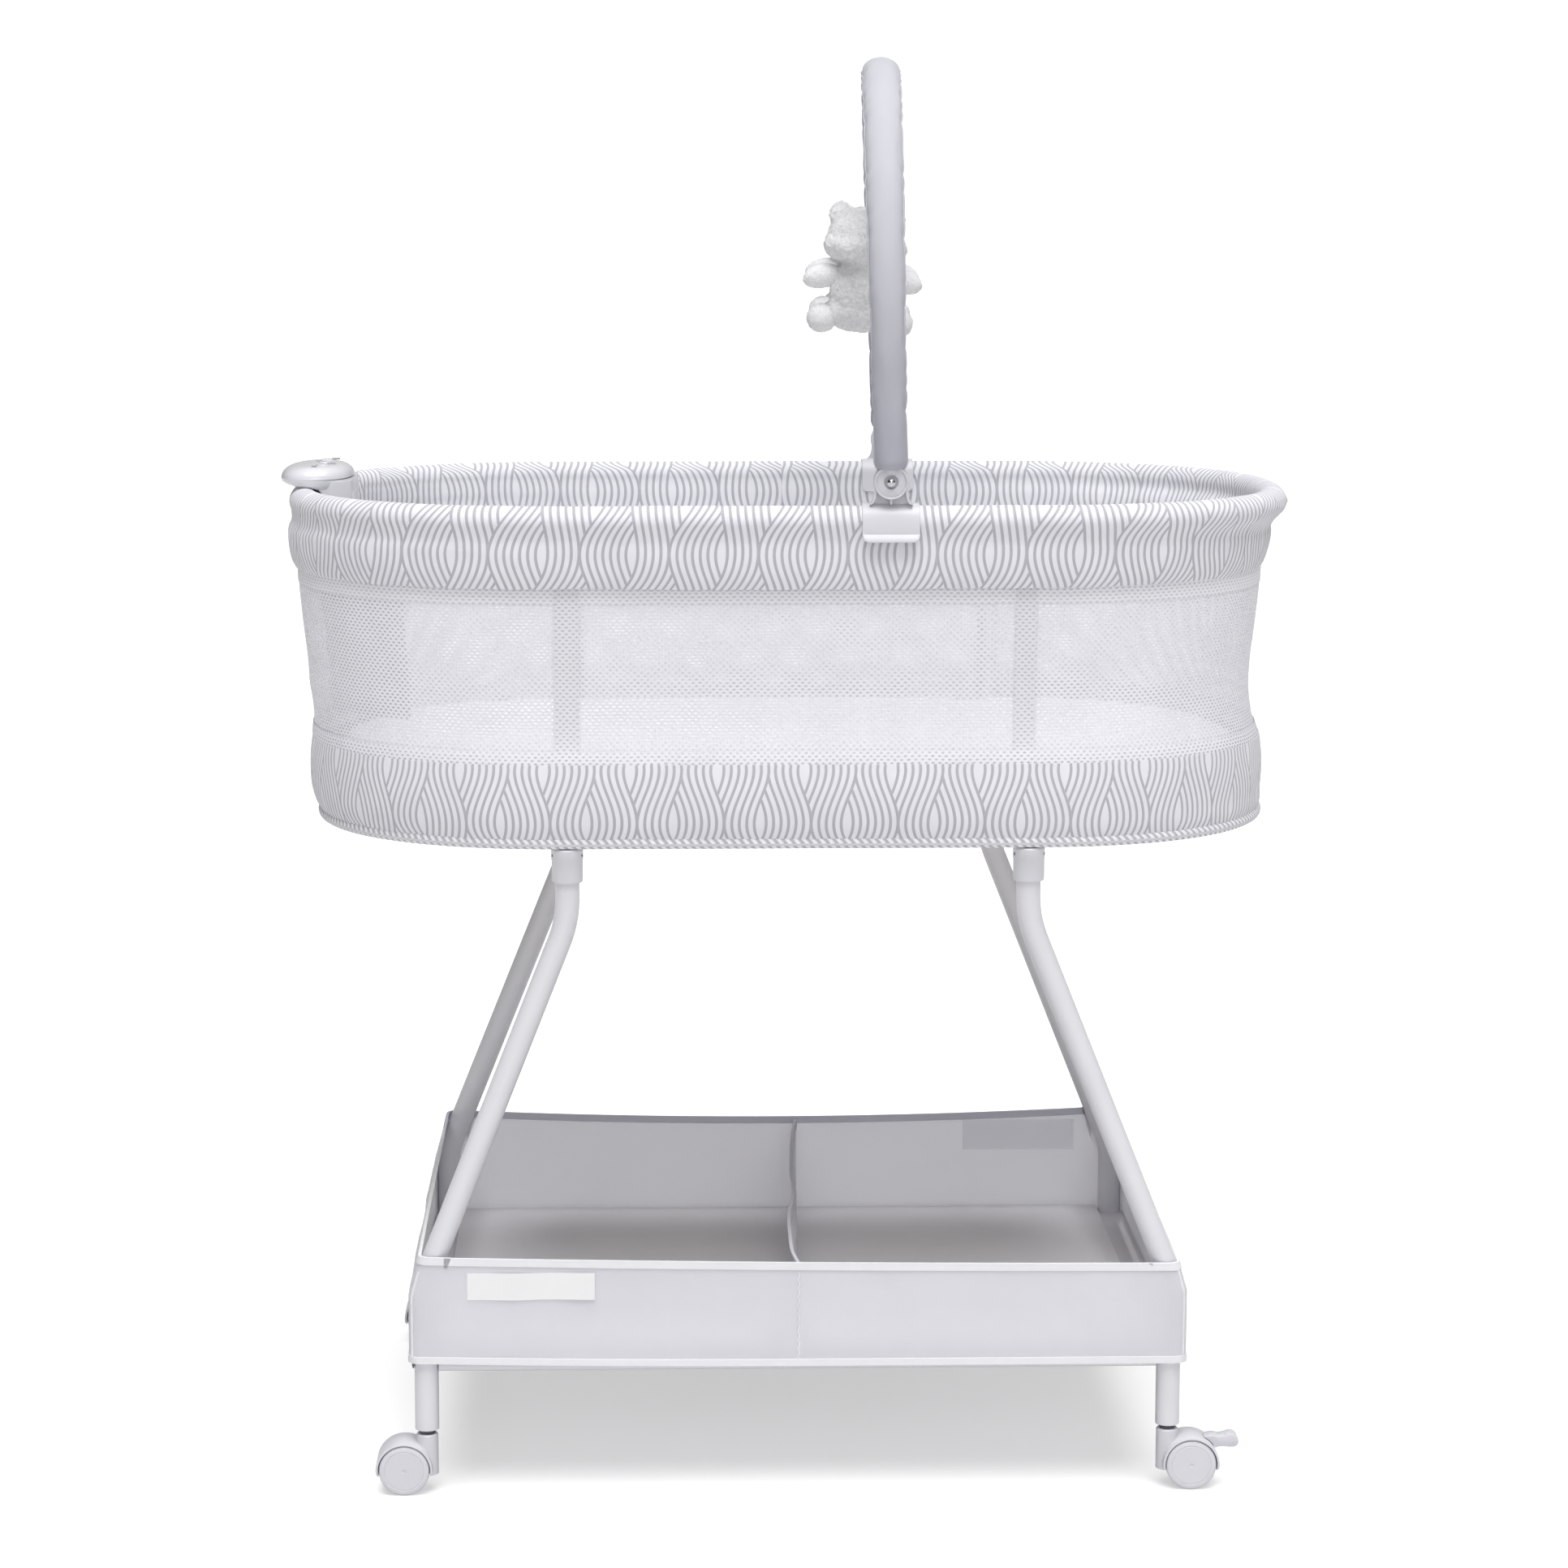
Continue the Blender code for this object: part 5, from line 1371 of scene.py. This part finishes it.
def pod():
    """Glossy pebble over the rim, with a thick lip inside it, three buttons and plain grey marks."""
    levels = ((-0.0250, 0.7782), (-0.0120, 0.7784), (-0.0060, 0.7790), (-0.0028, 0.7802), (-0.0008, 0.7822),
              (0.0, 0.7846), (0.0, 0.7862))
    lower = skin("pod_lower", [oval_line(g, z, -0.10 * (0.7862 - z) / 0.0080, g * 0.3) for g, z in levels],
                 caps=True)
    outline = [(-0.3735, 0.7470), (-0.3715, 0.7452), (-0.3575, 0.7452), (-0.3550, 0.7475), (-0.3541, 0.7700),
               (-0.3541, 0.7850), (-0.3860, 0.7850), (-0.3860, 0.7810), (-0.3800, 0.7790), (-0.3752, 0.7740)]
    lip = extruded("lip", outline, -0.0495, 0.0495)
    put("pod_lower_case", joined("pod_lower", [lower, lip]), "gloss_plastic", "pod_base")
    levels = ((-0.0004, 0.78625), (0.0, 0.7866), (-0.0004, 0.7888), (-0.0018, 0.7914), (-0.0042, 0.7936),
              (-0.0076, 0.7952), (-0.0120, 0.7961), (-0.0180, 0.7966), (-0.0250, 0.7967))
    upper = skin("pod_upper", [oval_line(g, z, 0.02) for g, z in levels], caps=True)
    steps = []
    for number in range(3):
        hole = drum("hole", 0.0053, 0.785, 0.802, 40)
        hole.transform(Matrix.Translation((POD_X, (number - 1) * BUTTON_PITCH, 0)))
        steps.append(("DIFFERENCE", hole))
    put("pod_upper_case", shaped(upper, *steps), "gloss_plastic", "pod_cover")
    for number in range(3):
        y = (number - 1) * BUTTON_PITCH
        button = turned("button", [(0.0, 0.7880), (0.0050, 0.7880), (0.0050, 0.7968), (0.0046, 0.7974),
                                   (0.0038, 0.7976), (0.0, 0.7972)], 40)
        button.transform(Matrix.Translation((POD_X, y, 0)))
        put(f"button_cap_{number + 1}", button, "gloss_plastic", f"pod_button_{number + 1}",
            f"button_{number + 1}")
        bars = []
        for long, wide in ((0.0022, 0.0005), (0.0005, 0.0022))[: 2 if number == 2 else 1]:
            bars.append(box("bar", (POD_X - long, y - wide, MARK_FOOT), (POD_X + long, y + wide, MARK_TOP),
                            0.0001))
        if number == 1:
            bars = [drum("dot", 0.0015, MARK_FOOT, MARK_TOP, 24)]
            bars[0].transform(Matrix.Translation((POD_X, y, 0)))
        put(f"button_mark_{number + 1}", joined("mark", bars), "grey_plastic", body=f"button_{number + 1}")
    marks = []
    for number, y in enumerate((-0.039, -0.013, 0.013, 0.039)):
        for k in range(1 + number % 2):
            inner = 0.0016 + 0.0014 * k
            outer = inner + 0.0006
            marks.append(turned("ring", [(inner, 0.7961), (outer, 0.7961), (outer, 0.7971), (inner, 0.7971),
                                         (inner, 0.7961)], 28))
            marks[-1].transform(Matrix.Translation((POD_X - 0.006 + 0.012 * (number % 2), y, 0)))
    put("pod_marks", joined("pod_marks", marks), "grey_plastic")
    door = box("door", (-0.3546, -0.0298, 0.7502), (-0.3537, 0.0298, 0.7748), 0.0003)
    catch = box("catch", (-0.3539, -0.006, 0.7722), (-0.3532, 0.006, 0.7738), 0.0002)
    put("pod_battery_door", joined("door", [door, catch]), "gloss_plastic", "battery_door")


# ---------------------------------------------------------------- stage and camera

# Strength of the world's light against its direction's X, from the left (0) to the right (1).
WORLD_LIGHT = ((0.0, 0.03), (0.28, 0.09), (0.50, 0.46), (0.72, 0.32), (1.0, 0.12))


def stage():
    """White floor and surroundings, a soft sun overhead, a weak one from the front, and the camera."""
    scene = bpy.context.scene
    floor = bpy.data.meshes.new("floor")
    floor.from_pydata([(30 * x, 30 * y, -0.0002) for x, y in ((-1, -1), (1, -1), (1, 1), (-1, 1))], [],
                      [(0, 1, 2, 3)])
    paper = Finish("studio_floor", (0.72, 0.72, 0.72), 0.9, specular_ior_level=0.0,
                   emission_color=(1.0, 1.0, 1.0, 1.0))
    seen = paper.node("LightPath").outputs["Is Camera Ray"]
    paper.feed(paper.shader.inputs["Emission Strength"], paper.maths("MULTIPLY", seen, 0.45))
    cloud = paper.noise(paper.coordinates(), 3.0, 2.0)
    paper.colour(paper.blend(cloud, (0.715, 0.715, 0.715), (0.725, 0.725, 0.725)))
    floor.materials.append(paper.material)
    floor = bpy.data.objects.new("studio_floor", floor)
    scene.collection.objects.link(floor)

    world = bpy.data.worlds.new("studio")
    scene.world = world
    world.use_nodes = True
    tree = world.node_tree
    tree.nodes.clear()

    def node(kind, *sources):
        made = tree.nodes.new("ShaderNode" + kind)
        for socket, source in zip(made.inputs, sources):
            if isinstance(source, bpy.types.NodeSocket):
                tree.links.new(source, socket)
            else:
                socket.default_value = source
        return made

    facing = node("TexCoord").outputs["Generated"]
    share = node("Math", node("SeparateXYZ", facing).outputs["X"], 0.5, 0.5)
    share.operation = "MULTIPLY_ADD"
    flank = node("ValToRGB", share.outputs[0])
    flank.color_ramp.interpolation = "EASE"
    flank.color_ramp.elements[1].position = WORLD_LIGHT[-1][0]
    for place, _ in WORLD_LIGHT[1:-1]:
        flank.color_ramp.elements.new(place)
    for element, (_, level) in zip(flank.color_ramp.elements, WORLD_LIGHT):
        element.color = (level, level, level, 1)
    lit = node("Background", (1, 1, 1, 1), flank.outputs["Color"])
    seen = node("Background", (1, 1, 1, 1), 1.05)
    ray = node("LightPath").outputs["Is Camera Ray"]
    node("OutputWorld", node("MixShader", ray, lit.outputs[0], seen.outputs[0]).outputs[0])

    for name, energy, width, lean in (("overhead", 3.1, 50, 15), ("front_fill", 0.42, 30, 72)):
        sun = bpy.data.lights.new(name, "SUN")
        sun.energy = energy
        sun.angle = math.radians(width)
        lamp = bpy.data.objects.new(name, sun)
        lamp.rotation_euler = (math.radians(lean), 0, 0)
        scene.collection.objects.link(lamp)

    scene.view_settings.view_transform = "Standard"
    scene.view_settings.look = "None"

    camera = bpy.data.cameras.new("camera")
    camera.lens = 95.7
    camera.sensor_width = 36
    camera.shift_x = 0.0292
    eye = bpy.data.objects.new("camera", camera)
    eye.location = (-0.125, -3.39, 1.0682)
    eye.rotation_euler = (math.radians(90 - 9.0), 0, math.radians(-1.40))
    scene.collection.objects.link(eye)
    scene.camera = eye


def finish_kept_nodes():
    """Give a procedural finish to every node of the frame that still shows."""
    slots = {part["node"]: part["material_slot"] for part in frame["record"]["subparts"]}
    for name, node in frame["nodes"].items():
        if not node.hide_render:
            node.data.materials.clear()
            node.data.materials.append(FINISH["storage_base" if name == "storage_board" else slots[name]][0])


cover = rim_cover()
band, piping = lower_band()
wall, strips, patch = walls()
pad = mattress()
posts()
stand()
casters()
bag, trims, divider, binding, tag = storage()
sleeve = arch_sleeve()
arch_bow()
clips()
bears()
pod()
stage()
finish_kept_nodes()
